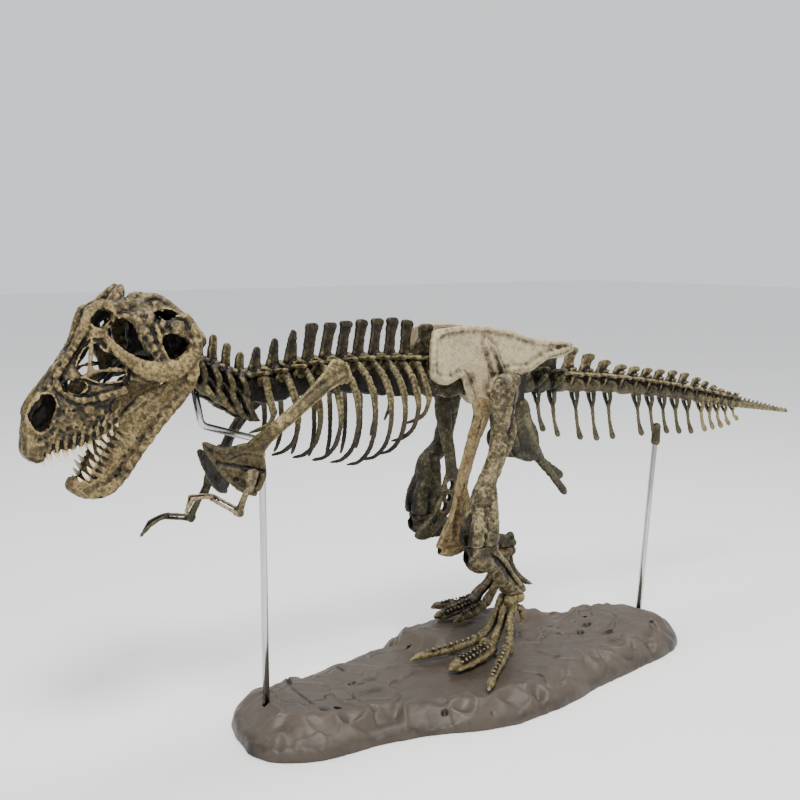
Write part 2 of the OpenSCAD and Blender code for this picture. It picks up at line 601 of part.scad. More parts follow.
// Outline of the rock, from its front end round by the left side; X is a share of the length
// between the ends and Y a share of the width
rock_front = k * front_rod_x - front_overhang;
rock_back = k * tail_rod_foot[0] + tail_overhang;
rock_len = rock_back - rock_front;
rock_outline = [[0.005, -0.1], [0, -0.18], [0.03, -0.3], [0.1, -0.36], [0.22, -0.4], [0.3, -0.46],
                [0.37, -0.54], [0.47, -0.565], [0.58, -0.53], [0.68, -0.47], [0.8, -0.43],
                [0.92, -0.37], [0.99, -0.24], [1, -0.05], [0.97, 0.12], [0.88, 0.2], [0.76, 0.26],
                [0.66, 0.36], [0.58, 0.43], [0.5, 0.42], [0.42, 0.4], [0.33, 0.34], [0.24, 0.3],
                [0.15, 0.29], [0.07, 0.25], [0.02, 0.1]];
function rock_at(inset) = [for (p = rock_outline)
    [rock_front + inset + p[0] * (rock_len - 2 * inset), p[1] * base_w * (1 - 2 * inset / base_w)]];
raised = 14; // height of the rock step under the right foot
module base() color(rock) difference() {
    union() {
        linear_extrude(base_t * 0.4) polygon(rock_at(0));
        linear_extrude(base_t * 0.75) polygon(rock_at(3));
        linear_extrude(base_t) polygon(rock_at(6));
        linear_extrude(base_t + k * raised)
            intersection() {
                polygon(rock_at(9));
                polygon(k * [[-60, 20], [-20, 28], [40, 28], [90, 34], [90, 120], [-70, 120]]);
            }
    }
    translate([k * front_rod_x, 0, base_t - rod_depth - plug_gap])
        cylinder(h = rod_depth + 2, d = rod_d + 2 * plug_gap);
    tail_rod_end(2 * plug_gap);
    on_stand() for (s = [LEFT, RIGHT]) sole_peg(s, fit);
}

base();
front_rod();
tail_rod();
skull();
mandible();
jaw_pins();
neck();
back();
sacrum();
tail_root();
tail_middle();
tail_end();
tail_tip();
chevrons_root();
chevrons_middle();
for (i = [1 : rib_count]) {
    rib(i - 1, LEFT);
    rib(i - 1, RIGHT);
}
scapula(LEFT);  // scapula_left
scapula(RIGHT);  // scapula_right
arm(LEFT);  // arm_left
arm(RIGHT);  // arm_right
ilium(LEFT);  // ilium_left
ilium(RIGHT);  // ilium_right
pubis(LEFT);  // pubis_left
pubis(RIGHT);  // pubis_right
ischium(LEFT);  // ischium_left
ischium(RIGHT);  // ischium_right
thigh(LEFT);  // thigh_left
thigh(RIGHT);  // thigh_right
shin(LEFT);  // shin_left
shin(RIGHT);  // shin_right
foot(LEFT);  // foot_left
foot(RIGHT);  // foot_right
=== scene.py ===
"""Looks of the tyrannosaurus skeleton kit.

Each bone of the CAD model is modelled again here in a block of "clay", a distance field that tubes,
plates and blobs are blended into and windows are cut out of. A surface net turns the clay into a
mesh. Shapes are drawn in millimetres in the row frame; X runs from head to tail, the animal's
left is -Y.
"""
import math

import bpy
import numpy as np
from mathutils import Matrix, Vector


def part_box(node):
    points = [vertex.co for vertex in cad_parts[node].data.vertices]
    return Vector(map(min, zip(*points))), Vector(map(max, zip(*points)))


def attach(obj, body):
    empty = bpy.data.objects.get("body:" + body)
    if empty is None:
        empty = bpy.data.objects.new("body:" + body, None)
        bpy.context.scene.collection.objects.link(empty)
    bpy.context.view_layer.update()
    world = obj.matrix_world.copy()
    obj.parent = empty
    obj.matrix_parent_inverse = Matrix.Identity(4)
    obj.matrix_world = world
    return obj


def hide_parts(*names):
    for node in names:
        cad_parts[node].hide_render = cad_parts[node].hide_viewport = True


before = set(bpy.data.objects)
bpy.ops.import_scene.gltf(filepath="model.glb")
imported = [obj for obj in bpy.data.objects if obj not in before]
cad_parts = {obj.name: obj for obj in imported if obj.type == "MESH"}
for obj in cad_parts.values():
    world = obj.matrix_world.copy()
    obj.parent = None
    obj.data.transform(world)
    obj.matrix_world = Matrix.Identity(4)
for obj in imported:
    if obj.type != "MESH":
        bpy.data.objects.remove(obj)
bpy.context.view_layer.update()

MM = 0.001
LEFT, RIGHT = -1, 1
SIDES = ((LEFT, "left"), (RIGHT, "right"))
FAR = 20.0  # what the clay holds away from any shape
PAD = 5  # how far round a shape, beyond its blended edge, the clay is worked
PLAIN, MOUND = 24, 38  # heights of the rock's two levels
BASE_WIDTH = 200


# ---------------------------------------------------------------- small helpers
def node_box(node):
    """Lowest and highest corner of a CAD node, in millimetres."""
    low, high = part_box(node)
    return np.array(low) / MM, np.array(high) / MM


def at(x, table):
    """The value at x along a table of (x, value) pairs."""
    return np.interp(x, [t[0] for t in table], [t[1] for t in table])


def sided(side):
    """A function that puts a point on one side: y is counted outwards."""
    return lambda x, y, z: (x, side * y, z)


def along(place_of, *rows):
    """The points that a function gives for several rows of arguments."""
    return [place_of(*row) for row in rows]


def catmull(points, n, closed=False):
    """Points along a smooth curve through the given ones, n to each stretch."""
    p = np.array(points, float)
    if closed:
        p = np.vstack([p[-1:], p, p[:2]])
    else:
        p = np.vstack([2 * p[0] - p[1], p, 2 * p[-1] - p[-2]])
    out = []
    for i in range(1, len(p) - 2):
        for t in np.arange(n) / n:
            a, b, c, d = p[i - 1], p[i], p[i + 1], p[i + 2]
            out.append(0.5 * (2 * b + (c - a) * t + (2 * a - 5 * b + 4 * c - d) * t * t
                              + (3 * b - a - 3 * c + d) * t ** 3))
    if not closed:
        out.append(p[-2])
    return np.array(out)


def outline_distance(points, x, z):
    """Signed distance from each x, z to a closed outline: negative inside."""
    best = np.full(np.broadcast(x, z).shape, 1e9)
    inside = np.zeros(best.shape, bool)
    for (ax, az), (bx, bz) in zip(points, np.roll(points, -1, 0)):
        ex, ez = bx - ax, bz - az
        t = np.clip(((x - ax) * ex + (z - az) * ez) / (ex * ex + ez * ez + 1e-12), 0, 1)
        best = np.minimum(best, (x - ax - t * ex) ** 2 + (z - az - t * ez) ** 2)
        if abs(ez) > 1e-9:
            inside ^= ((az > z) != (bz > z)) & (x < ex * (z - az) / ez + ax)
    return np.where(inside, -np.sqrt(best), np.sqrt(best))


def grain(p, size, seed):
    """Smooth noise from -1 to 1 at points p, with lumps about size across."""
    q = np.asarray(p) / size
    cell = np.floor(q).astype(np.int64)
    f = q - cell
    f = f * f * (3 - 2 * f)
    total = 0
    for corner in range(8):
        o = np.array([corner & 1, corner >> 1 & 1, corner >> 2])
        c = cell + o
        h = (c[..., 0] * 374761393 + c[..., 1] * 668265263 + c[..., 2] * 2147483647 + seed
             * 974634777)
        h = (h ^ (h >> 13)) * 1274126177 & 0xFFFFFFFF
        value = (h ^ (h >> 16)) % 65536 / 32767.5 - 1
        w = np.prod(np.where(o, f, 1 - f), axis=-1)
        total = total + w * value
    return total


def smooth_min(a, b, k):
    h = np.clip(0.5 + 0.5 * (b - a) / k, 0, 1)
    return b + (a - b) * h - k * h * (1 - h)


# ---------------------------------------------------------------- clay
class Clay:
    """A distance field on a grid. A mirrored block is modelled on its +Y half and doubled."""

    def __init__(self, low, high, step, mirrored=False):
        low, high = np.array(low, float), np.array(high, float)
        self.step = step * 1
        edge = 3 * self.step
        low, high = low - edge, high + edge
        self.mirrored = mirrored
        if mirrored:
            low[1] = 0
        self.low = low
        count = np.ceil((high - low) / self.step).astype(int) + 1
        self.axes = [(low[i] + self.step * np.arange(count[i])).astype(np.float32)
                     for i in range(3)]
        self.d = np.full(count, FAR, np.float32)

    def blend(self, low, high, field, k, cut=False):
        """Adds a field to the clay inside a box, or cuts it out, with an edge about k wide."""
        spans = [slice(np.searchsorted(a, lo), np.searchsorted(a, hi, "right"))
                 for a, lo, hi in zip(self.axes, low, high)]
        if any(s.start >= s.stop for s in spans):
            return
        x, y, z = np.ix_(*(a[s] for a, s in zip(self.axes, spans)))
        here = tuple(spans)
        old = self.d[here]
        new = field(x, y, z)
        self.d[here] = -smooth_min(-old, new, k) if cut else smooth_min(old, new, k)

    def tube(self, points, radii, flat=None, k=1.5, cut=False, smooth=3):
        """A bone along a smooth line. flat = (direction, factor) makes it thinner that way."""
        p = np.array(points, float)
        r = np.broadcast_to(np.array(radii, float), len(p))
        if len(p) > 2 and smooth > 1:
            line = catmull(np.column_stack([p, r]), smooth)
            p, r = line[:, :3], np.maximum(line[:, 3], 0.1)
        u = np.zeros(3) if flat is None else np.array(flat[0], float) / np.linalg.norm(flat[0])
        squeeze = 0 if flat is None else flat[1] ** 2 - 1
        for a, b, ra, rb in zip(p, p[1:], r, r[1:]):
            pad = max(ra, rb) + k + PAD
            e = b - a
            size = float(e @ e) + 1e-9

            def field(x, y, z, a=a, e=e, ra=ra, rb=rb, size=size):
                x, y, z = x - a[0], y - a[1], z - a[2]
                t = np.clip((x * e[0] + y * e[1] + z * e[2]) / size, 0, 1)
                x, y, z = x - t * e[0], y - t * e[1], z - t * e[2]
                far = x * x + y * y + z * z
                if squeeze:
                    far = far + squeeze * (x * u[0] + y * u[1] + z * u[2]) ** 2
                return np.sqrt(far) - (ra + (rb - ra) * t)

            self.blend(np.minimum(a, b) - pad, np.maximum(a, b) + pad, field, k, cut)

    def blob(self, centre, radii, k=2.0, cut=False):
        c = np.array(centre, float)
        r = np.broadcast_to(np.array(radii, float), 3)

        def field(x, y, z):
            far = ((x - c[0]) / r[0]) ** 2 + ((y - c[1]) / r[1]) ** 2 + ((z - c[2]) / r[2]) ** 2
            return (np.sqrt(far) - 1) * r.min()

        self.blend(c - r - k - PAD, c + r + k + PAD, field, k, cut)

    def plate(self, outline, middle, half, k=1.2, rounding=1.0, cut=False, smooth=4, reach=60):
        """A slab with an outline in X and Z; middle and half are numbers or functions of x, z."""
        line = catmull(outline, smooth, closed=True) if smooth > 1 else np.array(outline, float)

        def field(x, y, z):
            m = middle(x, z) if callable(middle) else middle
            h = half(x, z) if callable(half) else half
            a = outline_distance(line, x, z) + rounding
            b = np.abs(y - m) - h + rounding
            return np.minimum(np.maximum(a, b), 0) + np.hypot(np.maximum(a, 0),
                                                              np.maximum(b, 0)) - rounding

        m0 = 0 if callable(middle) else middle
        pad = k + PAD
        self.blend((line[:, 0].min() - pad, m0 - reach, line[:, 1].min() - pad),
                   (line[:, 0].max() + pad, m0 + reach, line[:, 1].max() + pad), field, k, cut)

    def roughen(self, grains):
        """Pits and lumps near the surface: grains is a list of (size, height)."""
        near = np.nonzero(np.abs(self.d) < 2.5)
        p = np.column_stack([a[i] for a, i in zip(self.axes, near)]).astype(float)
        if self.mirrored:
            p[:, 1] += 500
        d = self.d[near]
        for seed, (size, height) in enumerate(grains):
            d = d - height * grain(p, size, seed + 3)
        self.d[near] = d

    def sample(self, p):
        q = (p - self.origin) / self.step
        q = np.clip(q, 0, np.array(self.full.shape) - 1.001)
        i = q.astype(int)
        f = q - i
        total = 0
        for corner in range(8):
            o = (corner & 1, corner >> 1 & 1, corner >> 2)
            w = np.prod([f[:, n] if o[n] else 1 - f[:, n] for n in range(3)], axis=0)
            total = total + w * self.full[i[:, 0] + o[0], i[:, 1] + o[1], i[:, 2] + o[2]]
        return total

    def piece(self, name, material, body="frame", replaces=(), slot="bone", grains=(), inner=None):
        """Turns the clay into a mesh object with its hollow attribute, painted shade from how
        closed in each point is, and its ridge attribute.

        inner(x, y, z) adds painted shade, and on the spine some of the spines' own grey, to the
        hollow value, which darkens the paint there."""
        self.roughen(grains)
        self.full = self.d
        self.origin = self.low.copy()
        if self.mirrored:
            self.full = np.concatenate([self.d[:, :0:-1], self.d], axis=1)
            self.origin[1] = -self.axes[1][-1]
        points, quads = surface_net(self.full)
        points = points * self.step + self.origin
        slope = np.column_stack([self.sample(points + o) - self.sample(points - o)
                                 for o in np.eye(3) * self.step * 0.8])
        normal = slope / (np.linalg.norm(slope, axis=1, keepdims=True) + 1e-9)
        # Painted shade: hollow grows where the clay closes in a short way out along the normal, as
        # in a crease.
        hollow = sum(np.clip((r - self.sample(points + normal * r)) / r, 0, 1.2) for r in (1.6, 3.2,
                                                                                           5.6)) / 3
        around = sum(self.sample(points + o) + self.sample(points - o) for o in np.eye(3) * 1.4) / 6
        if inner:
            hollow = np.clip(hollow + inner(*points.T), 0, 1.2)
        mesh = bpy.data.meshes.new(name)
        mesh.vertices.add(len(points))
        mesh.vertices.foreach_set("co", (points * MM).astype(np.float32).ravel())
        mesh.loops.add(quads.size)
        mesh.loops.foreach_set("vertex_index", quads.astype(np.int32).ravel())
        mesh.polygons.add(len(quads))
        mesh.polygons.foreach_set("loop_start", np.arange(0, quads.size, 4, dtype=np.int32))
        mesh.update(calc_edges=True)
        mesh.validate()
        for key, value in (("hollow", hollow), ("ridge", np.clip(around, -1, 1))):
            mesh.attributes.new(key, "FLOAT", "POINT").data.foreach_set("value",
                                                                        value.astype(np.float32))
        return place(name, mesh, material, body, replaces)


def clay_for(node, below, above, step, mirrored=False):
    """A block of clay that fills the box of a CAD node and a margin round it."""
    low, high = node_box(node)
    return Clay(low - below, high + above, step, mirrored)


def surface_net(d):
    """Vertices in grid steps and quads of the surface where the field d changes sign."""
    inside = d < 0
    n = np.array(d.shape)
    count = np.zeros(n - 1, np.uint8)
    offsets = [(c & 1, c >> 1 & 1, c >> 2) for c in range(8)]
    for o in offsets:
        count += inside[o[0]:n[0] - 1 + o[0], o[1]:n[1] - 1 + o[1], o[2]:n[2] - 1 + o[2]]
    cells = np.argwhere((count > 0) & (count < 8))
    values = np.column_stack([d[cells[:, 0] + o[0], cells[:, 1] + o[1], cells[:, 2] + o[2]]
                              for o in offsets])
    total = np.zeros((len(cells), 3))
    crossings = np.zeros(len(cells))
    for a in range(8):
        for axis in range(3):
            b = a | 1 << axis
            if b == a:
                continue
            va, vb = values[:, a], values[:, b]
            hit = (va < 0) != (vb < 0)
            t = va[hit] / (va[hit] - vb[hit])
            spot = np.tile(np.array(offsets[a], float), (hit.sum(), 1))
            spot[:, axis] = t
            total[hit] += spot
            crossings[hit] += 1
    points = cells + total / crossings[:, None]
    number = np.full(n - 1, -1, np.int32)
    number[tuple(cells.T)] = np.arange(len(cells))
    quads = []
    for axis in range(3):
        u, v = (axis + 1) % 3, (axis + 2) % 3
        one = [slice(1, -1)] * 3
        two = list(one)
        one[axis], two[axis] = slice(0, -1), slice(1, None)
        first, second = inside[tuple(one)], inside[tuple(two)]
        edges = np.argwhere(first != second)
        solid_first = first[tuple(edges.T)]
        edges = edges + 1
        edges[:, axis] -= 1
        corners = []
        for du, dv in ((1, 1), (0, 1), (0, 0), (1, 0)):
            c = edges.copy()
            c[:, u] -= du
            c[:, v] -= dv
            corners.append(number[tuple(c.T)])
        q = np.column_stack(corners)
        q[~solid_first] = q[~solid_first][:, ::-1]
        quads.append(q)
    return points, np.vstack(quads)


def place(name, mesh, material, body, replaces):
    """Links a mesh as a smooth piece of the object."""
    mesh.polygons.foreach_set("use_smooth", np.ones(len(mesh.polygons), bool))
    mesh.materials.append(material)
    piece = bpy.data.objects.new(name, mesh)
    bpy.context.scene.collection.objects.link(piece)
    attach(piece, body)
    if replaces:
        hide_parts(*replaces)
    return piece


def loft(rings):
    """Vertices and faces of a closed tube through rings of equally many points."""
    n = len(rings[0])
    verts = [tuple(v) for ring in rings for v in ring]
    faces = [tuple(range(n))[::-1]]
    for i in range(len(rings) - 1):
        for j in range(n):
            k = (j + 1) % n
            faces.append((i * n + j, i * n + k, (i + 1) * n + k, (i + 1) * n + j))
    faces.append(tuple(range((len(rings) - 1) * n, len(rings) * n)))
    return verts, faces


def round_bar(points, radii, sides=32):
    """A loft of round rings along a line."""
    p = np.array(points, float)
    radii = np.broadcast_to(np.array(radii, float), len(p))
    side = np.array([0.0, 1.0, 0.0])
    rings = []
    for i, c in enumerate(p):
        t = p[min(i + 1, len(p) - 1)] - p[max(i - 1, 0)]
        t /= np.linalg.norm(t)
        u = side - (side @ t) * t
        u /= np.linalg.norm(u)
        v = np.cross(t, u)
        rings.append([c + radii[i] * (u * math.cos(a) + v * math.sin(a))
                      for a in np.linspace(0, 2 * math.pi, sides, endpoint=False)])
    return loft(rings)


def join(parts):
    """One mesh's vertices and faces from several."""
    verts, faces = [], []
    for v, f in parts:
        n = len(verts)
        verts += [tuple(c) for c in v]
        faces += [tuple(i + n for i in face) for face in f]
    return verts, faces


def mesh_piece(name, parts, material, body="frame", replaces=()):
    verts, faces = join(parts)
    mesh = bpy.data.meshes.new(name)
    mesh.from_pydata([tuple(c * MM for c in v) for v in verts], [], faces)
    mesh.validate()
    return place(name, mesh, material, body, replaces)


# ---------------------------------------------------------------- materials
def shader(name):
    material = bpy.data.materials.new(name)
    material.use_nodes = True
    nodes, links = material.node_tree.nodes, material.node_tree.links
    return material, nodes, links, nodes["Principled BSDF"]


def object_coords(nodes):
    return nodes.new("ShaderNodeTexCoord").outputs["Object"]


def attribute(nodes, name):
    n = nodes.new("ShaderNodeAttribute")
    n.attribute_name = name
    return n.outputs["Fac"]


def noise(nodes, links, coords, scale, detail=3.0, distortion=0.0):
    n = nodes.new("ShaderNodeTexNoise")
    n.inputs["Scale"].default_value = scale
    n.inputs["Detail"].default_value = detail
    n.inputs["Distortion"].default_value = distortion
    links.new(coords, n.inputs["Vector"])
    return n.outputs["Fac"]


def ramp(nodes, links, value, stops):
    n = nodes.new("ShaderNodeValToRGB")
    while len(n.color_ramp.elements) < len(stops):
        n.color_ramp.elements.new(0.5)
    for element, (position, color) in zip(n.color_ramp.elements, stops):
        element.position = position
        element.color = (*color, 1)
    links.new(value, n.inputs["Fac"])
    return n.outputs["Color"]


def math_node(nodes, links, operation, *operands, clamp=False):
    n = nodes.new("ShaderNodeMath")
    n.operation = operation
    n.use_clamp = clamp
    for socket, v in zip(n.inputs, operands):
        if isinstance(v, (int, float)):
            socket.default_value = v
        else:
            links.new(v, socket)
    return n.outputs[0]


def mix_color(nodes, links, factor, a, b, blend="MIX"):
    n = nodes.new("ShaderNodeMix")
    n.data_type = "RGBA"
    n.blend_type = blend
    for socket, v in ((n.inputs[0], factor), (n.inputs[6], a), (n.inputs[7], b)):
        if isinstance(v, (int, float)):
            socket.default_value = v
        elif isinstance(v, tuple):
            socket.default_value = (*v, 1)
        else:
            links.new(v, socket)
    return n.outputs[2]


def bump(nodes, links, shader_node, height, strength, distance):
    n = nodes.new("ShaderNodeBump")
    n.inputs["Strength"].default_value = strength
    n.inputs["Distance"].default_value = distance
    links.new(height, n.inputs["Height"])
    links.new(n.outputs["Normal"], shader_node.inputs["Normal"])


def roughness(nodes, links, body, value, low, high):
    """Lets a value from 0 to 1 drive the roughness between low and high."""
    n = nodes.new("ShaderNodeMapRange")
    n.inputs["To Min"].default_value = low
    n.inputs["To Max"].default_value = high
    links.new(value, n.inputs["Value"])
    links.new(n.outputs["Result"], body.inputs["Roughness"])


def painted_bone(name, dark, mid, light, tint, lift=0.0, patches=0.35):
    """Plastic bone: painted shade over dark paint in hollows, an olive coat and a pale dry brush on
    ridges.
    """
    material, nodes, links, body = shader(name)
    coords = object_coords(nodes)
    hollow, ridge = attribute(nodes, "hollow"), attribute(nodes, "ridge")
    broad = noise(nodes, links, coords, 60, 3)
    blotch = noise(nodes, links, coords, 210, 4, 0.6)
    speck = noise(nodes, links, coords, 700, 4)
    # Painted shade: the hollow value darkens the paint in creases, over the kit's own dark paint
    # there; ridges get the pale dry brush.
    level = math_node(nodes, links, "MULTIPLY_ADD", ridge, 0.55, 0.50 + lift)
    shade = math_node(nodes, links, "MULTIPLY", hollow, 1.05)
    level = math_node(nodes, links, "SUBTRACT", level, shade)
    for value, amount in ((broad, 0.30), (blotch, 0.42), (speck, 0.55)):
        centred = math_node(nodes, links, "SUBTRACT", value, 0.5)
        level = math_node(nodes, links, "ADD", level, math_node(nodes, links, "MULTIPLY", centred,
                                                                amount))
    brown = tuple(0.5 * (a + b) for a, b in zip(dark, mid))
    paint = ramp(nodes, links, level, [
        (0.0, tuple(c * 0.4 for c in dark)), (0.16, dark), (0.32, brown), (0.46, mid),
        (0.66, tuple(0.45 * a + 0.55 * b for a, b in zip(mid, light))), (0.92, light)])
    patch = math_node(nodes, links, "MULTIPLY", math_node(
        nodes, links, "SUBTRACT", noise(nodes, links, coords, 28, 2), 0.45), 4.0, clamp=True)
    patch = math_node(nodes, links, "MULTIPLY", patch, patches)
    paint = mix_color(nodes, links, patch, paint, mix_color(nodes, links, 1.0, paint, tint,
                                                            "MULTIPLY"))
    links.new(paint, body.inputs["Base Color"])
    body.inputs["Specular IOR Level"].default_value = 0.2
    roughness(nodes, links, body, blotch, 0.36, 0.62)
    height = math_node(nodes, links, "ADD", speck, math_node(nodes, links, "MULTIPLY", blotch, 0.6))
    bump(nodes, links, body, height, 0.35, 0.0006)
    return material


def rock_material():
    """Brown moulded plastic rock with painted shade in its creases and painted highlights on its
    ridges.
    """
    material, nodes, links, body = shader("rock_paint")
    coords = object_coords(nodes)
    hollow, ridge = attribute(nodes, "hollow"), attribute(nodes, "ridge")
    broad = noise(nodes, links, coords, 18, 4)
    fine = noise(nodes, links, coords, 260, 4)
    # Painted highlight on ridges and painted shade in creases.
    level = math_node(nodes, links, "MULTIPLY_ADD", ridge, 0.25, 0.42)
    level = math_node(nodes, links, "SUBTRACT", level,
                      math_node(nodes, links, "MULTIPLY", hollow, 0.9))
    level = math_node(nodes, links, "ADD", level, math_node(nodes, links, "MULTIPLY", broad, 0.25))
    level = math_node(nodes, links, "ADD", level, math_node(nodes, links, "MULTIPLY", fine, 0.12))
    paint = ramp(nodes, links, level, [
        (0.05, (0.008, 0.006, 0.004)), (0.35, (0.038, 0.029, 0.021)),
        (0.62, (0.068, 0.053, 0.040)), (0.95, (0.145, 0.116, 0.090))])
    links.new(paint, body.inputs["Base Color"])
    body.inputs["Specular IOR Level"].default_value = 0.35
    roughness(nodes, links, body, broad, 0.36, 0.58)
    bump(nodes, links, body, fine, 0.18, 0.0006)
    return material


def steel_material():
    """Polished round bar with faint drawing lines along it."""
    material, nodes, links, body = shader("steel_bar")
    coords = object_coords(nodes)
    stretch = nodes.new("ShaderNodeMapping")
    stretch.inputs["Scale"].default_value = (1, 1, 0.02)
    links.new(coords, stretch.inputs["Vector"])
    lines = noise(nodes, links, stretch.outputs["Vector"], 900, 2)
    body.inputs["Metallic"].default_value = 1.0
    links.new(ramp(nodes, links, lines, [(0.3, (0.40, 0.40, 0.39)), (0.7, (0.56, 0.56, 0.54))]),
              body.inputs["Base Color"])
    roughness(nodes, links, body, lines, 0.12, 0.26)
    return material


def tooth_material():
    """Ivory teeth, darker and browner towards the gum."""
    material, nodes, links, body = shader("tooth_paint")
    coords = object_coords(nodes)
    streak = noise(nodes, links, coords, 420, 3)
    level = math_node(nodes, links, "ADD", attribute(nodes, "tip"),
                      math_node(nodes, links, "MULTIPLY", math_node(
                          nodes, links, "SUBTRACT", streak, 0.5), 0.7))
    links.new(ramp(nodes, links, level, [
        (0.0, (0.05, 0.035, 0.018)), (0.25, (0.30, 0.22, 0.11)), (0.6, (0.78, 0.69, 0.48))]),
        body.inputs["Base Color"])
    body.inputs["Roughness"].default_value = 0.34
    bump(nodes, links, body, streak, 0.2, 0.0004)
    return material


DARK = (0.013, 0.010, 0.006)
OLIVE = (0.084, 0.066, 0.029)
TAN = (0.34, 0.27, 0.125)
CREAM = (0.37, 0.305, 0.17)
LILAC = (0.80, 0.72, 0.80)
BONE = painted_bone("bone_paint", DARK, OLIVE, TAN, LILAC)
SKULL = painted_bone("skull_paint", DARK, (0.080, 0.060, 0.025), (0.38, 0.285, 0.125), LILAC, 0.0,
                     0.7)
PALE = painted_bone("pale_bone_paint", DARK, (0.078, 0.063, 0.032), CREAM, (0.84, 0.77, 0.82), 0.0,
                    0.8)
# Painted shade: a darker copy of the bone paint for the far-side and underneath pieces that stand
# in shadow.
SHADED = painted_bone("shaded_bone_paint", (0.008, 0.007, 0.005), (0.030, 0.026, 0.014),
                      (0.15, 0.125, 0.062), (0.85, 0.90, 0.80), -0.04)
TAWNY = painted_bone("tawny_bone_paint", (0.016, 0.011, 0.006), (0.10, 0.070, 0.032),
                     (0.33, 0.25, 0.125), (0.95, 0.85, 0.8), 0.02)
BLADE_PAINT = painted_bone("blade_bone_paint", DARK, (0.088, 0.068, 0.028), (0.42, 0.335, 0.16),
                           LILAC, 0.0)
HIP_PAINT = painted_bone("hip_bone_paint", (0.03, 0.024, 0.015), (0.20, 0.165, 0.10),
                         (0.50, 0.42, 0.26), (0.88, 0.80, 0.84), 0.18, 0.8)
# A darker bone paint for the neck and back: partly the spine's own dark grey, partly painted shade
# on vertebrae in the body's shadow.
SPINE_PAINT = painted_bone("spine_bone_paint", DARK, (0.050, 0.040, 0.017), (0.29, 0.23, 0.10),
                           LILAC, -0.03)
RIB_PAINT = painted_bone("rib_bone_paint", DARK, (0.050, 0.040, 0.018), (0.30, 0.24, 0.115), LILAC,
                         -0.04)
# Painted shade: a darker copy of the bone paint for the far foot, which stands in shadow.
SHADED_FOOT = painted_bone("shaded_foot_paint", DARK, (0.060, 0.046, 0.022), (0.30, 0.23, 0.115), LILAC,
                        -0.05)
ROCK = rock_material()
STEEL = steel_material()
IVORY = tooth_material()
BONE_GRAINS = ((7, 0.45), (2.8, 0.32), (1.5, 0.22))
FINE_GRAINS = ((5, 0.25), (2.2, 0.2))

# ---------------------------------------------------------------- the line of the spine
SPINE = ((-336, 328), (-322, 320), (-300, 310), (-280, 303), (-255, 305), (-220, 310), (-160, 311),
         (-95, 307), (0, 293), (75, 283), (150, 276), (250, 261), (350, 242), (460, 222))
SPINE_TOP = ((-334, 352), (-312, 354), (-298, 346), (-280, 334), (-262, 341), (-245, 347),
             (-221, 356), (-176, 357), (-126, 358), (-97, 351), (-60, 345), (0, 338), (75, 324),
             (105, 314), (154, 298), (215, 289), (258, 284), (304, 269), (330, 259), (360, 247))
BODY_R = ((-336, 8), (-100, 8.5), (0, 9), (75, 8.5), (200, 7.5), (300, 6.2), (360, 5), (460, 2))
BODY_DROP = ((-336, 0), (-285, 2), (-249, 7), (-213, 6), (-176, 9), (-137, 13), (-88, 15),
             (-40, 10), (30, 3), (78, 0))
REACH = ((-336, 12), (-280, 16), (-240, 20), (-120, 20), (-90, 16), (75, 18), (150, 17), (250, 12),
         (330, 6), (360, 4))
NECK_START = node_box("neck")[0][0] + 5
BACK_START = node_box("back")[0][0] + 5
SACRUM_START = node_box("sacrum")[0][0] + 5
TAIL_STARTS = [node_box(n)[0][0] + 5 for n in ("tail_root", "tail_middle", "tail_end", "tail_tip")]
TAIL_END = node_box("tail_tip")[1][0]


def spine_z(x):
    return at(x, SPINE)


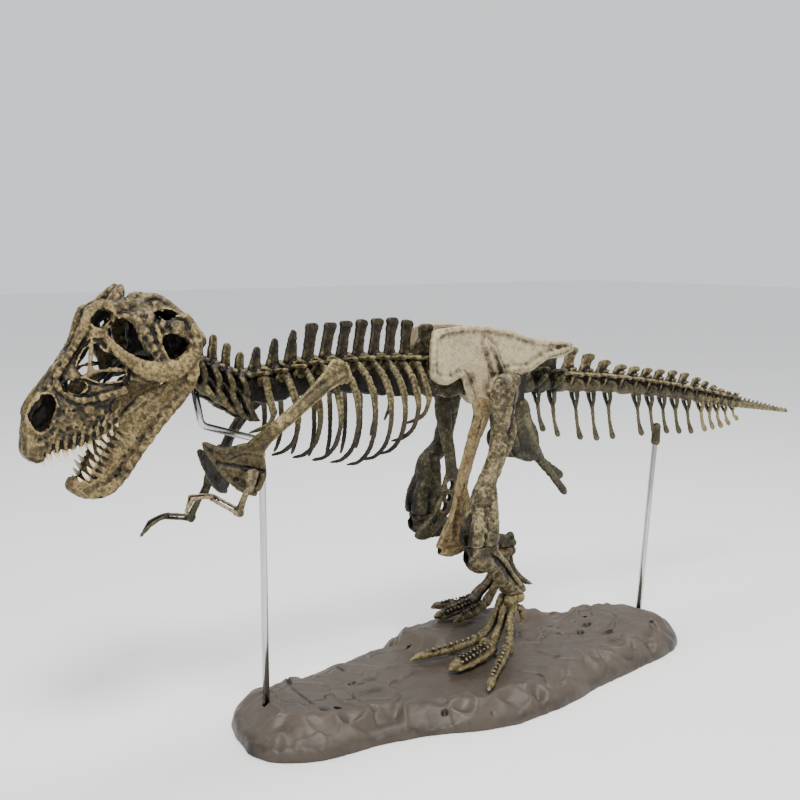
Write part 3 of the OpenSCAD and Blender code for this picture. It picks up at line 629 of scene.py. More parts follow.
def vertebra(clay, x0, x1, pointed=0.0, fused=False):
    """One vertebra: spool-shaped body, arch, upright spine, side and joint processes."""
    pitch = x1 - x0
    x = (x0 + x1) / 2
    z, r, top, reach = spine_z(x), at(x, BODY_R), at(x, SPINE_TOP), at(x, REACH)
    slope = (spine_z(x1) - spine_z(x0)) / pitch
    size = r / 8.5
    ends = 0.44 * pitch
    clay.tube([(x - ends, 0, z - slope * ends), (x - 0.3 * pitch, 0, z - slope * 0.3 * pitch),
               (x, 0, z - 0.4), (x + 0.3 * pitch, 0, z + slope * 0.3 * pitch),
               (x + ends, 0, z + slope * ends)], [r, 0.9 * r, 0.7 * r, 0.9 * r, r], k=1.0)
    arch = z + 1.45 * r
    clay.blob((x, 0, z + 1.05 * r), (0.36 * pitch, 0.62 * r, 0.7 * r), k=2)
    drop = at(x, BODY_DROP)
    if drop > 1.5:
        # a tall body: waisted in the middle, flared where it meets the next one
        for share in (0.5, 1.0):
            low = z - share * drop
            clay.tube([(x - ends, 0, low - slope * ends), (x - 0.25 * pitch, 0, low),
                       (x, 0, low + 1.2), (x + 0.25 * pitch, 0, low),
                       (x + ends, 0, low + slope * ends)],
                      [0.98 * r, 0.8 * r, 0.66 * r, 0.8 * r, 0.98 * r], k=2.5)
    # the upright spine: thin in the middle, thick round its edge, leaning back
    lean = at(x, ((-240, 0.2), (-200, 0.42), (-110, 0.2), (80, 0.3))) * pitch
    waist = 0.25 * pitch
    head = 0.32 * pitch * (1 - 0.72 * pointed)
    ridge = 1.5 * size
    clay.plate([(x - 0.3 * pitch, arch - 2), (x - waist + 0.4 * lean, 0.6 * arch + 0.4 * top),
                (x - head + lean, top - 2), (x - 0.4 * head + lean, top),
                (x + 0.5 * head + lean, top), (x + head + lean, top - 3),
                (x + waist + 0.5 * lean, 0.5 * arch + 0.5 * top), (x + 0.3 * pitch, arch - 2)], 0,
               1.3 * size, k=1.5, rounding=0.5)
    if not pointed:
        clay.tube([(x - 0.7 * head + lean, 0, top - 3), (x + 0.8 * head + lean, 0, top - 3.4)],
                  [2.3 * size, 2.1 * size], k=2.5)
    for e in (-1, 1):
        clay.tube([(x + e * 0.26 * pitch, 0, arch), (x + e * 0.8 * waist + 0.45 * lean, 0,
                                                     0.55 * arch + 0.45 * top),
                   (x + e * 0.75 * head + lean, 0, top - 3)], [2.0 * size, ridge, 1.6 * size],
                  k=1.5)
    # side process, with a buttress down to the body
    rise = 2.2 if x < 70 else -1
    tip = (x + 0.16 * pitch, reach, arch + rise)
    clay.tube([(x - 0.02 * pitch, 2, arch - 1), (x + 0.06 * pitch, 0.5 * reach, arch + 0.5 * rise),
               tip], [4.6 * size, 3.4 * size, 3.0 * size], flat=((0, 0, 1), 1.9), k=2)
    clay.blob(tip, (3.2 * size, 2.4 * size, 1.9 * size), k=1.5)
    clay.tube([(x + 0.05 * pitch, 0.62 * reach, arch - 0.5), (x, 0.72 * r, z + 0.2 * r)],
              [1.6 * size, 1.9 * size], k=1.5)
    if fused:
        return
    # front and rear joint processes
    clay.tube([(x - 0.2 * pitch, 0.5 * r, arch - 1), (x - 0.46 * pitch, 0.58 * r, arch + 1.6),
               (x - 0.66 * pitch, 0.52 * r, arch + 3.4)], [2.4 * size, 1.9 * size, 1.3 * size],
              k=1.6)
    clay.tube([(x + 0.16 * pitch, 0.36 * r, arch + 2.5), (x + 0.42 * pitch, 0.44 * r, arch + 3.5)],
              [2.3 * size, 1.5 * size], k=1.6)


def spine_section(name, node, x0, x1, count, material, extra=None, fused=False,
                  pointed=lambda x: 0.0, shade_and_grey=0.0):
    low, high = node_box(node)
    deep = 60 if node == "sacrum" else 26 if node == "tail_end" else 12
    clay = Clay(low - (4, 0, deep), high + (6, 4, 4), 0.85, mirrored=True)
    ends = np.linspace(x0, x1, count + 1)
    core = [(x, 0, spine_z(x)) for x in np.linspace(x0 + 0.4, x1 - 0.4, count * 2 + 1)]
    clay.tube(core, [0.6 * at(x, BODY_R) for x, _, _ in core], k=0.8, smooth=1)
    for a, b in zip(ends, ends[1:]):
        vertebra(clay, a, b, pointed((a + b) / 2), fused)
    if extra:
        extra(clay, ends)

    def below(x, y, z):
        """Painted shade on the bodies, which lie in shadow, and a thinner darkening for the upright
        spines' own grey.
        """
        centre = np.interp(x, [c[0] for c in core], [c[2] for c in core])
        wide = np.clip((13.5 - np.abs(y)) / 2, 0, 1)
        return shade_and_grey * wide * (np.clip((centre + 7 - z) / 4, 0, 1) + 0.45
                              * np.clip((z - centre - 20) / 6, 0, 1))

    return clay.piece(name, material, replaces=[node], grains=BONE_GRAINS, inner=below)


def cervical_ribs(clay, ends):
    """Thin ribs that sweep down and back from each neck vertebra, two rows on each side."""
    for i, x in enumerate((ends[:-1] + ends[1:]) / 2):
        z = spine_z(x)
        grow = 1 + 0.22 * i
        clay.tube([(x - 3, 6, z + 2), (x - 1, 11 + i, z - 6), (x + 6, 13 + i, z - 14 - 2 * i),
                   (x + 16, 11 + i, z - 20 - 2.6 * i), (x + 25, 9 + i, z - 25 - 2.6 * i)],
                  [3.2, 3.0, 2.3, 1.7, 0.9], k=1.5)
        clay.tube([(x, 5, z - 3), (x + 5, 7.5, z - 10 * grow), (x + 15, 6, z - 15 * grow),
                   (x + 22, 5, z - 18 * grow)], [2.6, 2.1, 1.5, 0.8], k=1.5)
        clay.tube([(x - 2, 4, z + 9), (x - 4, 13, z + 12), (x - 1, 15 + 0.5 * i, z + 3),
                   (x - 1, 12, z - 6)], [3, 2.8, 2.4, 2.2], k=1.5)


def sacral_ribs(clay, ends):
    reach = node_box("ilium_right")[0][1]
    for x in (ends[:-1] + ends[1:]) / 2:
        z = spine_z(x)
        clay.tube([(x, 5, z - 1), (x + 1, 11, z + 3), (x + 2, reach - 1.2, z + 8)], [4, 2.8, 3.6],
                  flat=((1, 0, 0), 1.5), k=2)
    clay.plate([(ends[0] + 6, 318), (ends[0] + 8, 337), (-50, 340), (0, 333), (60, 322),
                (ends[-1] - 8, 300), (ends[-1] - 8, 295), (0, 304)], 0, 1.6, k=2)
    tail_chevron(clay, ends[-2] - 6)
    tail_chevron(clay, ends[-1] - 8)


CHEVRON_TIP = ((60, 236), (65, 234), (87, 226), (136, 219), (230, 217), (290, 211), (321, 212),
               (350, 214), (366, 219))


def tail_chevron(clay, x, seat=1.4):
    """A Y-shaped bone hung under the tail: two roots that join above a flattened blade."""
    top = spine_z(x) - at(x, BODY_R) + seat
    tip_x = x + 10
    tip = at(tip_x, CHEVRON_TIP)
    length = top - tip
    size = min(1.0, 0.45 + length / 70)
    join = (x + 2.5, 0, top - 0.34 * length)
    clay.tube([(x - 0.5, 4.2 * size, top), (x + 1, 3.4 * size, top - 0.16 * length), join],
              [2.3 * size, 1.8 * size, 1.7 * size], k=1.2)
    clay.tube([join, (x + 5, 0, top - 0.66 * length), (tip_x - 1, 0, tip + 4),
               (tip_x + 1, 0, tip + 1.6)], [2.1 * size, 1.9 * size, 3.0 * size, 2.3 * size],
              flat=((0, 1, 0), 1.45), k=1.5)


def build_spine():
    spine_section("neck_bones", "neck", NECK_START, BACK_START, 5, SPINE_PAINT, cervical_ribs,
                  pointed=lambda x: 0.5)
    # The back and the first tail sections get painted shade on their vertebral bodies, which lie in
    # shadow, and a little darkening for the upright spines' own grey.
    spine_section("back_bones", "back", BACK_START, SACRUM_START, 10, SPINE_PAINT,
                  pointed=lambda x: 0.75 if x < -225 else 0.0, shade_and_grey=0.5)
    spine_section("sacrum_bones", "sacrum", SACRUM_START, TAIL_STARTS[0], 8, SHADED, sacral_ribs,
                  fused=True)
    spine_section("tail_root_bones", "tail_root", TAIL_STARTS[0], TAIL_STARTS[1], 4, BONE,
                  shade_and_grey=0.12)
    spine_section("tail_middle_bones", "tail_middle", TAIL_STARTS[1], TAIL_STARTS[2], 6, BONE,
                  shade_and_grey=0.12)
    spine_section("tail_end_bones", "tail_end", TAIL_STARTS[2], TAIL_STARTS[3], 5, BONE,
                  lambda clay, ends: [tail_chevron(clay, x) for x in ends[:-1] + 3])
    build_tail_tip()
    for node, count in (("chevrons_root", 4), ("chevrons_middle", 6)):
        low, high = node_box(node)
        start = TAIL_STARTS[0] if node == "chevrons_root" else TAIL_STARTS[1]
        end = TAIL_STARTS[1] if node == "chevrons_root" else TAIL_STARTS[2]
        clay = Clay(low - (8, 3, 4), high + (8, 3, 2), 0.7, mirrored=True)
        for x in np.linspace(start, end, count + 1)[1:-1]:
            tail_chevron(clay, x)
        if node == "chevrons_middle":
            rod_top = node_box("tail_rod")[1]
            clay.tube([(rod_top[0] - 3.4, 0, rod_top[2] - 8),
                       (rod_top[0] - 2.4, 0, rod_top[2] + 8)], [5.0, 4.6], k=2)
        clay.piece(node + "_bones", SHADED, replaces=[node], grains=FINE_GRAINS)


def build_tail_tip():
    clay = clay_for("tail_tip", 2, 2, 0.7, mirrored=True)
    start = TAIL_STARTS[3] + 0.4
    ends = np.linspace(start, TAIL_END - 1, 13)
    clay.tube([(x, 0, spine_z(x)) for x in ends], np.linspace(2.6, 0.9, len(ends)), k=0.8, smooth=1)
    for a, b in zip(ends, ends[1:]):
        r = at(a, BODY_R)
        x, z = (a + b) / 2, spine_z((a + b) / 2)
        clay.tube([(a + 0.4, 0, spine_z(a)), (x, 0, z), (b - 1, 0, spine_z(b))],
                  [r, 0.75 * r, 0.95 * r], k=0.8)
        clay.tube([(x - 1, 0, z + 0.6 * r), (x + 1.6, 0, z + 1.5 * r)], [0.5 * r, 0.3 * r], k=0.8)
    clay.piece("tail_tip_bones", BONE, replaces=["tail_tip"], grains=FINE_GRAINS)


# ---------------------------------------------------------------- ribs
def build_ribs():
    for side, word in SIDES:
        for i in range(1, 11):
            node = f"rib_{word}_{i}"
            low, high = node_box(node)
            outer = max(abs(low[1]), abs(high[1])) - 1.7
            x = high[0] - 7.3
            foot = low[2] + 0.8
            z = spine_z(x) + 5
            clay = Clay(low - 3, high + 3, 0.7)
            line = [(x, side * 9.8, z), (x + 1, side * 17, z + 3),
                    (x + 2, side * 0.82 * outer, z - 7), (x + 4, side * 0.98 * outer, z - 24),
                    (x + 5, side * outer, 0.45 * z + 0.55 * foot),
                    (x + 2, side * 0.9 * outer, 0.2 * z + 0.8 * foot),
                    (x - 5, side * 0.72 * outer, foot + 4),
                    (x - 12, side * 0.5 * outer, foot + 0.6)]
            clay.tube(line, [3.2, 3.1, 2.8, 2.5, 2.3, 2.1, 1.8, 1.0], flat=((0, 1, 0.35), 1.35),
                      k=1, smooth=4)
            clay.blob((x + 1, side * 17, z + 3.4), (3.4, 3.2, 2.8), k=2)
            clay.tube([(x + 3.4, side * (0.82 * outer + 1.4), z - 6),
                       (x + 5.6, side * (outer + 0.6), z - 22),
                       (x + 6, side * (outer + 0.4), 0.5 * z + 0.5 * foot)], [1.1, 1.2, 0.9], k=1.2)
            # Painted shade on the lower ends of the ribs, under the body.
            clay.piece(node + "_bone", RIB_PAINT, replaces=[node], grains=FINE_GRAINS,
                       inner=lambda x, y, z: 0.4 * np.clip((285 - z) / 35, 0, 1))


# ---------------------------------------------------------------- skull
HINGE = [0.5 * (a + b) for a, b in zip(*node_box("jaw_pins"))]
TOP_EDGE = ((-461, 294), (-456, 308), (-446, 321), (-437, 330), (-427, 338), (-415, 352),
            (-409, 369), (-403, 376), (-391, 380), (-370, 381), (-357, 382), (-344, 375),
            (-333, 366), (-324, 357))
LOW_EDGE = ((-461, 270), (-450, 264), (-436, 274), (-416, 281), (-396, 296), (-385, 318),
            (-362, 319), (-340, 331), (-330, 341))
CHEEK = ((-462, 8), (-459, 12), (-453, 15.5), (-440, 18.6), (-425, 21.5), (-410, 24.5), (-398, 28),
         (-385, 31.5), (-370, 35), (-355, 37.4), (-340, 38.6), (-330, 38))
SKULL_SIDE = [(-461, 281), (-460, 300), (-456, 309), (-446, 321), (-437, 330), (-427, 338),
              (-416, 352), (-410, 369), (-404, 376), (-396, 379), (-389, 380), (-370, 379),
              (-357, 381), (-344, 374), (-333, 365), (-325, 357), (-325, 347), (-333, 338),
              (-343, 328), (-351, 322), (-362, 319), (-373, 318), (-385, 318), (-393, 312),
              (-399, 302), (-398, 295), (-407, 286), (-416, 280), (-427, 275), (-436, 274),
              (-444, 271), (-449, 264), (-456, 264), (-461, 271)]
NOSTRIL = [(-457, 296), (-453, 306), (-445, 313), (-439, 311), (-439, 301), (-445, 289),
           (-452, 287)]
FRONT_WINDOW = [(-431, 319), (-425, 323), (-417, 321), (-417, 316), (-425, 313)]
BIG_WINDOW = [(-419, 338), (-413, 347), (-407, 350), (-403, 345), (-394, 339), (-390, 331),
              (-391, 323), (-404, 321), (-414, 324), (-420, 331)]
BIG_HOLLOW = [(-433, 328), (-435, 319), (-431, 313), (-421, 309), (-408, 311), (-393, 316),
              (-387, 323), (-389, 338), (-399, 349), (-407, 354), (-416, 348), (-425, 338)]
EYE = [(-399, 359), (-394, 367), (-386, 368), (-380, 362), (-378, 352), (-373, 343), (-370, 337),
       (-380, 338), (-390, 345), (-396, 352)]
CHEEK_WINDOW = [(-362, 353), (-354, 357), (-346, 354), (-340, 348), (-346, 340), (-355, 336),
                (-361, 344)]
UPPER_WINDOW = [(-408, 369), (-402, 375), (-395, 373), (-396, 366), (-402, 361), (-407, 363)]


def half_width(x, z):
    """Half the width of the skull at x and height z."""
    low, top = at(x, LOW_EDGE), at(x, TOP_EDGE)
    v = np.clip((z - low) / (top - low), 0, 1)
    snout = np.interp(v, [0, 0.25, 0.55, 0.8, 1], [0.95, 1.0, 0.84, 0.54, 0.30])
    back = np.interp(v, [0, 0.3, 0.6, 0.85, 1], [0.93, 1.0, 0.93, 0.76, 0.5])
    share = np.clip((x + 420) / 30, 0, 1)
    return at(x, CHEEK) * (snout + (back - snout) * share)


def on_cheek(x, z, lift=0.0):
    """A point on the left-right mirrored skin of the skull, or lifted off it."""
    return (x, float(half_width(x, z)) + lift, z)


def skull_shell(x, y, z):
    """The hollow skull before its windows are cut: open below, with walls thicker at the gums."""
    side = outline_distance(catmull(SKULL_SIDE, 3, closed=True), x, z)
    out = (np.abs(y) - half_width(x, z)) * 0.85
    solid = -smooth_min(-side, -out, 5)
    wall = 3.4 + 2.2 * np.clip((300 - z) / 25, 0, 1)
    room = np.maximum(out + wall, z - (at(x, TOP_EDGE) - 5))
    room = np.maximum(room, np.maximum(-453 - x, x + 342))
    return np.maximum(solid, -room)


def rim(outline, radius):
    """A raised edge round a window, on the outside of the skull."""
    line = catmull(outline, 3, closed=True)

    def field(x, y, z):
        return np.hypot(outline_distance(line, x, z), np.abs(y) - half_width(x, z) + 0.4) - radius

    return field


def build_skull():
    clay = clay_for("skull", (3, 2, 6), (12, 6, 8), 0.75, mirrored=True)
    whole = ((-480, -1, 240), (-300, 60, 410))
    clay.blend(*whole, skull_shell, 1.0)
    hollow = catmull(BIG_HOLLOW, 3, closed=True)

    def fossa(x, y, z):
        skin = np.abs(y) - half_width(x, z)
        return np.maximum(outline_distance(hollow, x, z), -(skin + 2.0))

    clay.blend(*whole, fossa, 1.5, cut=True)
    # the rounded roof of the snout
    clay.tube([(-455, 0, 301), (-445, 0, 313), (-436, 0, 323), (-426, 0, 332), (-415, 0, 345),
               (-407, 0, 360), (-402, 0, 370), (-393, 0, 375)], [5, 5, 5.5, 6, 6, 6, 6, 7], k=3)
    # ridges, knobs and horns on the outside
    clay.tube(along(on_cheek, (-399, 351, -1.4), (-391, 342, -0.4), (-380, 334, 0),
                    (-368, 329, -0.4), (-356, 328, -0.6), (-345, 333, -0.4), (-335, 343, -0.4)),
              [3.2, 4.2, 6.2, 7.6, 7.8, 6.6, 4.8], flat=((0, 1, 0), 1.5), k=3)
    clay.tube(along(on_cheek, (-408, 374, -2), (-412, 364, 0), (-418, 351, 0.4), (-427, 338, 0.5),
                    (-435, 326, 0.6), (-434, 316, 0.6), (-424, 309, 0.8), (-408, 310, 0.8),
                    (-392, 315, 1)), [4, 3.2, 2.6, 2.2, 2.0, 1.9, 1.9, 2.1, 2.8], k=2)
    clay.tube([(-408, 8, 370), (-403, 9, 376), (-397, 10, 378), (-391, 13, 376)],
              [3.4, 2.0, 2.0, 3], k=2)
    clay.tube([(-397, 18, 365), (-393, 15, 374), (-387, 9, 383), (-382, 6, 391.5)],
              [6, 5.4, 5.0, 2.2], k=2.5)
    clay.tube([(-389, 16, 377), (-381, 16, 378), (-373, 14, 377), (-366, 12, 377)],
              [3.6, 4, 4.2, 4], k=3)
    clay.tube([(-372, 8, 379), (-364, 12, 382), (-356, 14, 381), (-346, 17, 374), (-337, 22, 364),
               (-332, 25, 356), (-333, 30, 348)], [3.4, 3.8, 3.8, 3.6, 3.8, 4.2, 4.4], k=2)
    clay.tube(along(on_cheek, (-349, 367, -2), (-340, 366, -1), (-335, 357, -1), (-335, 346, -1)),
              [3.4, 3.8, 4.0, 4], k=2)
    for x, z, r in ((-378, 365, 4.6), (-374, 358, 4.2), (-371, 352, 3.6), (-374, 348, 2.8),
                    (-368, 345, 3.4), (-366, 339, 3.0), (-372, 342, 2.6), (-377, 371, 3.6),
                    (-370, 364, 3.2)):
        clay.blob(on_cheek(x, z, -0.4), (r, 0.8 * r, r), k=1.6)
    clay.tube(along(on_cheek, (-365, 361, 0), (-364, 352, 0.4), (-361, 343, 0)), [2.6, 2.2, 2.4],
              k=1.4)
    clay.tube([on_cheek(-368, 357, 1.6), on_cheek(-367, 349, 1.6)], [1.0, 0.8], k=1.2, cut=True)
    clay.blob(on_cheek(-350, 360, 0.8), (6.2, 4.6, 6.2), k=1.2)
    rng = np.random.default_rng(11)
    for _ in range(46):
        x = rng.uniform(-396, -352)
        z = rng.uniform(352, 384) if x < -375 else rng.uniform(338, 382)
        if np.hypot(x + 386, z - 353) < 13 or np.hypot(x + 352, z - 347) < 11:
            continue
        clay.blob(on_cheek(x, z, -0.8), rng.uniform(1.8, 3.8), k=1.5)
    # tooth sockets along the upper gum, with grooves between the roots
    for x, y, z, _ in tooth_row(UPPER_GUM, UPPER_COUNT):
        clay.tube([(x, y + 0.8, z - 1), (x + 1, y + 1.4, z + 4), (x + 2.4, y + 1.0, z + 9)],
                  [2.8, 2.3, 1.0], k=1.4)
    # inside: nose wall, palate bars, braincase and the bars behind it
    clay.plate([(-454, 279), (-455, 300), (-441, 322), (-428, 330), (-424, 318), (-436, 290)], 0,
               1.2, reach=8)
    clay.tube([(-450, 5, 277), (-430, 8, 284), (-410, 11, 300), (-388, 15, 320), (-366, 20, 333)],
              [4.5, 3.6, 3, 3, 4], k=2)
    clay.tube([(-424, 0, 300), (-404, 0, 318), (-382, 0, 336), (-364, 0, 348)], [2.2, 2.4, 3, 5],
              k=2)
    clay.tube([(-406, 12, 324), (-399, 14, 338), (-396, 12, 352), (-398, 9, 366)],
              [2.2, 2, 2.4, 3.4], k=2)
    clay.blob((-356, 0, 356), (21, 13, 20), k=4)
    clay.blob((-341, 0, 340), (6, 6, 7), k=3)
    clay.tube([(-344, 4, 352), (-340, 20, 350), (-336, 34, 345)], [7, 5.5, 4.5],
              flat=((1, 0, 0), 1.5), k=2)
    clay.tube([(-352, 10, 338), (-346, 22, 333), (-342, 33, 336)], [3, 2.6, 3], k=2)
    # the joint for the lower jaw
    clay.tube([(-336, 37, 346), (-338, 37.2, 334), (HINGE[0], 37.2, HINGE[2] - 1)], [5, 4.6, 5.4],
              flat=((0, 1, 0), 2.4), k=1)
    for outline, radius in ((NOSTRIL, 1.7), (EYE, 2.0), (CHEEK_WINDOW, 1.8), (UPPER_WINDOW, 1.5),
                            (BIG_WINDOW, 1.0), (FRONT_WINDOW, 0.9)):
        clay.blend(*whole, rim(outline, radius), 1.5)
    for outline, inner in ((NOSTRIL, 4), (FRONT_WINDOW, 8), (BIG_WINDOW, 8), (EYE, 14),
                           (CHEEK_WINDOW, 20), (UPPER_WINDOW, 7)):
        clay.plate(outline, 0.5 * (inner + 60), 0.5 * (60 - inner), k=1.0, cut=True, smooth=3,
                   reach=30)
    # bars across the big side window
    clay.tube(along(on_cheek, (-409, 351, -1.4), (-411, 340, -2.2), (-413, 326, -2)), 1.5, k=1)
    clay.tube(along(on_cheek, (-418, 325, -1.6), (-405, 330, -2.4), (-390, 330, -1.6)), 1.4, k=1)
    clay.blob((-355, 24, 369), (10, 9, 4.6), k=1.5, cut=True)
    for x, z, a, b in ((-440, 300, 5, 3), (-421, 297, 4, 2.4), (-447, 318, 4, 2), (-433, 335, 4, 2),
                       (-424, 302, 3, 2), (-408, 304, 4, 2)):
        clay.blob(on_cheek(x, z, 1.0), (a, 1.6, b), k=1.4, cut=True)
    clay.blob((-428, 15, 301), (5, 3, 2), k=1, cut=True)
    for x, y, z, _ in tooth_row(UPPER_GUM, UPPER_COUNT):
        clay.blob(on_cheek(x + 2.5, z + 13), 0.9, k=0.9, cut=True)
        clay.tube([(x + 2.6, y + 4.4, z), (x + 3.4, y + 4.2, z + 5)], [1.0, 0.6], k=1.2, cut=True)
    # room inside the cheeks and the palate for the lower jaw and its teeth as they close
    jaw_line = catmull(JAW_SIDE, 3, closed=True)

    def closing(x, y, z):
        free = FAR
        for angle in (0.07, 0.17, 0.27):
            dx, dz = x - HINGE[0], z - HINGE[2]
            jx = HINGE[0] + math.cos(angle) * dx - math.sin(angle) * dz
            jz = HINGE[2] + math.sin(angle) * dx + math.cos(angle) * dz
            off = np.abs(np.abs(y) - at(jx, JAW_MIDDLE))
            edge = outline_distance(jaw_line, jx, jz)
            bone = np.maximum(edge - 0.9, off - 4.3)
            teeth = np.maximum(np.maximum(edge - 9.5, off - 3.4), np.abs(jx + 406) - 22)
            free = np.minimum(free, np.minimum(bone, teeth))
        return free

    clay.blend((-470, -1, 225), (-320, 60, 345), closing, 0.6, cut=True)
    # room for the first neck vertebra
    clay.blob((-329, 0, 334), (11, 12, 20), k=1, cut=True)

    # Painted shade on the inner faces of the skull's walls, which lie in shadow.
    def inside(x, y, z):
        shell = half_width(x, z) - np.abs(y)
        return 0.9 * np.clip((shell - 4.5) / 5, 0, 1) * ((z < at(x, TOP_EDGE) - 4) & (x > -458))

    clay.piece("skull_bones", SKULL, replaces=["skull"],
               grains=((9, 0.45), (3.6, 0.5), (1.7, 0.36)), inner=inside)


# ---------------------------------------------------------------- teeth
# Gum lines: X, Y and Z from the front tooth to the last, then the tooth's length
UPPER_GUM = ((-454, 5.5, 268, 9), (-449, 11, 270, 11), (-441, 15, 273.5, 12.5), (-432, 18, 275, 12),
             (-422, 20.5, 277.5, 11), (-412, 23, 282, 10), (-403, 25.5, 288, 8), (-398, 27, 293, 6))
LOWER_GUM = ((-420, 4, 240, 8), (-416.5, 8.5, 242, 9), (-413, 11, 246, 9.5), (-409, 12.6, 254, 9.5),
             (-404.5, 14, 263, 8.5), (-400, 15.4, 272, 7.5), (-395, 17, 279, 6), (-392, 18, 283, 5))
UPPER_COUNT, LOWER_COUNT = 12, 11  # teeth a side
TOOTH_SIDES = 10


def tooth_row(gum, count):
    """X, Y, Z and length for evenly spread teeth along a gum line."""
    line = catmull(gum, 8)
    step = np.r_[0, np.cumsum(np.linalg.norm(np.diff(line[:, :3], axis=0), axis=1))]
    return [tuple(np.interp(s, step, line[:, n]) for n in range(4))
            for s in np.linspace(0, step[-1], count)]


def tooth(root, direction, length, radius, bend):
    """A curved cone that starts inside the gum."""
    root, d, b = np.array(root), np.array(direction, float), np.array(bend, float)
    d /= np.linalg.norm(d)
    line, radii = [], []
    for t in (-0.45, -0.1, 0.15, 0.4, 0.62, 0.82, 0.95, 1.0):
        line.append(root + d * length * t + b * length * max(t, 0) ** 2)
        radii.append(radius * (1 - max(t, 0) ** 1.6) ** 0.8 + 0.12)
    return round_bar(line, radii, TOOTH_SIDES)


def build_teeth(name, gum, count, direction, bend, body):
    parts, tips = [], []
    rng = np.random.default_rng(5)
    for i, (x, y, z, length) in enumerate(tooth_row(gum, count)):
        for side, _ in SIDES:
            grown = length * (0.78 + 0.34 * ((i * 7 + (side > 0) * 3) % 5) / 4) * rng.uniform(0.94,
                                                                                              1.04)
            d = (direction[0], side * direction[1], direction[2])
            part = tooth((x, side * y, z), d, grown, 1.75 + 0.05 * grown, (bend[0], 0, bend[2]))
            parts.append(part)
            tips += [min(1.0, max(0.0, n // TOOTH_SIDES / 7)) for n in range(len(part[0]))]
    piece = mesh_piece(name, parts, IVORY, body)
    piece.data.attributes.new("tip", "FLOAT", "POINT").data.foreach_set("value",
                                                                        np.array(tips, np.float32))


# ---------------------------------------------------------------- lower jaw
JAW_SIDE = [(-424, 244), (-420, 245), (-415, 247), (-410, 255), (-405, 265), (-399, 274),
            (-393, 283), (-391, 291), (-386, 300), (-377, 308), (-364, 314), (-353, 320),
            (-345, 327), (-339, 331), (-333, 328), (-332, 320), (-337, 311), (-346, 303),
            (-354, 293), (-373, 271), (-388, 249), (-399, 236), (-408, 231), (-418, 234),
            (-424, 239)]
JAW_MIDDLE = ((-426, 3), (-422, 6), (-417, 8.6), (-410, 11), (-400, 14), (-385, 18.4), (-370, 22.8),
              (-354, 27.4), (-345, 30.4), (-339, 31.6), (-332, 31.8))


def build_jaw():
    clay = clay_for("mandible", (4, 2, 4), (3, 2, 3), 0.7, mirrored=True)

    def middle(x, z):
        return at(x, JAW_MIDDLE) - 0.03 * (z - 285)

    def half(x, z):
        return np.interp(x, [-420, -400, -360, -345, -332], [3.4, 3.3, 2.8, 2.5, 2.5])

    def skin(x, z, lift=0.0):
        return (x, float(middle(x, z) + half(x, z)) + lift, z)

    clay.plate(JAW_SIDE, middle, half, k=1, rounding=2.2, reach=45)
    clay.tube([(-424, 2, 242), (-419, 6, 238), (-409, 9, 236)], [4.5, 5, 5], k=3)
    clay.tube([(-424, 0, 241), (-421, 0, 238)], [5, 4], k=2)
    clay.tube(along(skin, (-411, 236, -1), (-399, 240, -0.6), (-386, 255, -0.6), (-372, 275, -0.5),
                    (-354, 296, -0.8), (-343, 308, -1.6)), [3.6, 3.6, 3.4, 3.0, 2.6, 2.2], k=3)
    clay.tube(along(skin, (-412, 250, -1.4), (-403, 266, -1.4), (-394, 281, -1.4),
                    (-388, 295, -1.6), (-374, 306, -1.8), (-356, 316, -2.0)),
              [2.0, 2.0, 2.2, 2.4, 2.2, 2.0], k=2)
    for x, y, z, _ in tooth_row(LOWER_GUM, LOWER_COUNT):
        clay.tube([(x - 0.5, y, z), (x + 4, y + 0.9, z - 3), (x + 9, y + 1.4, z - 6.5)],
                  [2.4, 2.1, 1.2], k=1.2)
    for x, y, z, _ in tooth_row(LOWER_GUM, LOWER_COUNT):
        clay.tube([(x + 1, y + 3.6, z + 3.4), (x + 4.4, y + 4.0, z + 1)], [0.9, 0.5], k=1.1,
                  cut=True)
        clay.blob(skin(x + 12, z - 7), 0.9, k=0.7, cut=True)
    # the pivot hole
    clay.tube([(HINGE[0], 20, HINGE[2]), (HINGE[0], 45, HINGE[2])], [2.2, 2.2], k=0.3, cut=True)

    def gap(x, y, z):
        """The shadowed recess behind the last teeth, under the cheek."""
        return 0.8 * np.clip(1 - np.hypot((x + 386 - 0.7 * (z - 306)) / 8, (z - 306) / 13) ** 2, 0,
                             1)

    clay.piece("jaw_bones", SKULL, body="jaw", replaces=["mandible"],
               grains=((8, 0.4), (3.4, 0.42), (1.7, 0.26)), inner=gap)


# ---------------------------------------------------------------- shoulders and arms
BLADE = [(-203, 309), (-200, 316), (-206, 325), (-217, 328), (-226, 318), (-244, 302), (-262, 286),
         (-280, 270), (-289, 261), (-300, 257), (-308, 259), (-316, 264), (-316, 257), (-310, 249),
         (-303, 238), (-294, 226), (-286, 221), (-279, 225), (-276, 235), (-276, 246), (-275, 257),
         (-266, 268), (-250, 282), (-232, 295), (-214, 306)]
BLADE_MIDDLE = ((-317, 4), (-305, 12), (-290, 22), (-277, 31), (-266, 37), (-250, 42.5),
                (-235, 43.6), (-200, 43))
ARM_JOINTS = {LEFT: ((-288, 236), (-300, 209), (-323, 224), (-341, 226), (-345, 213)),
              RIGHT: ((-294, 226), (-313, 193), (-334, 197), (-349, 193), (-357, 182))}
GIRDLE_DROP = {LEFT: 0, RIGHT: 8}


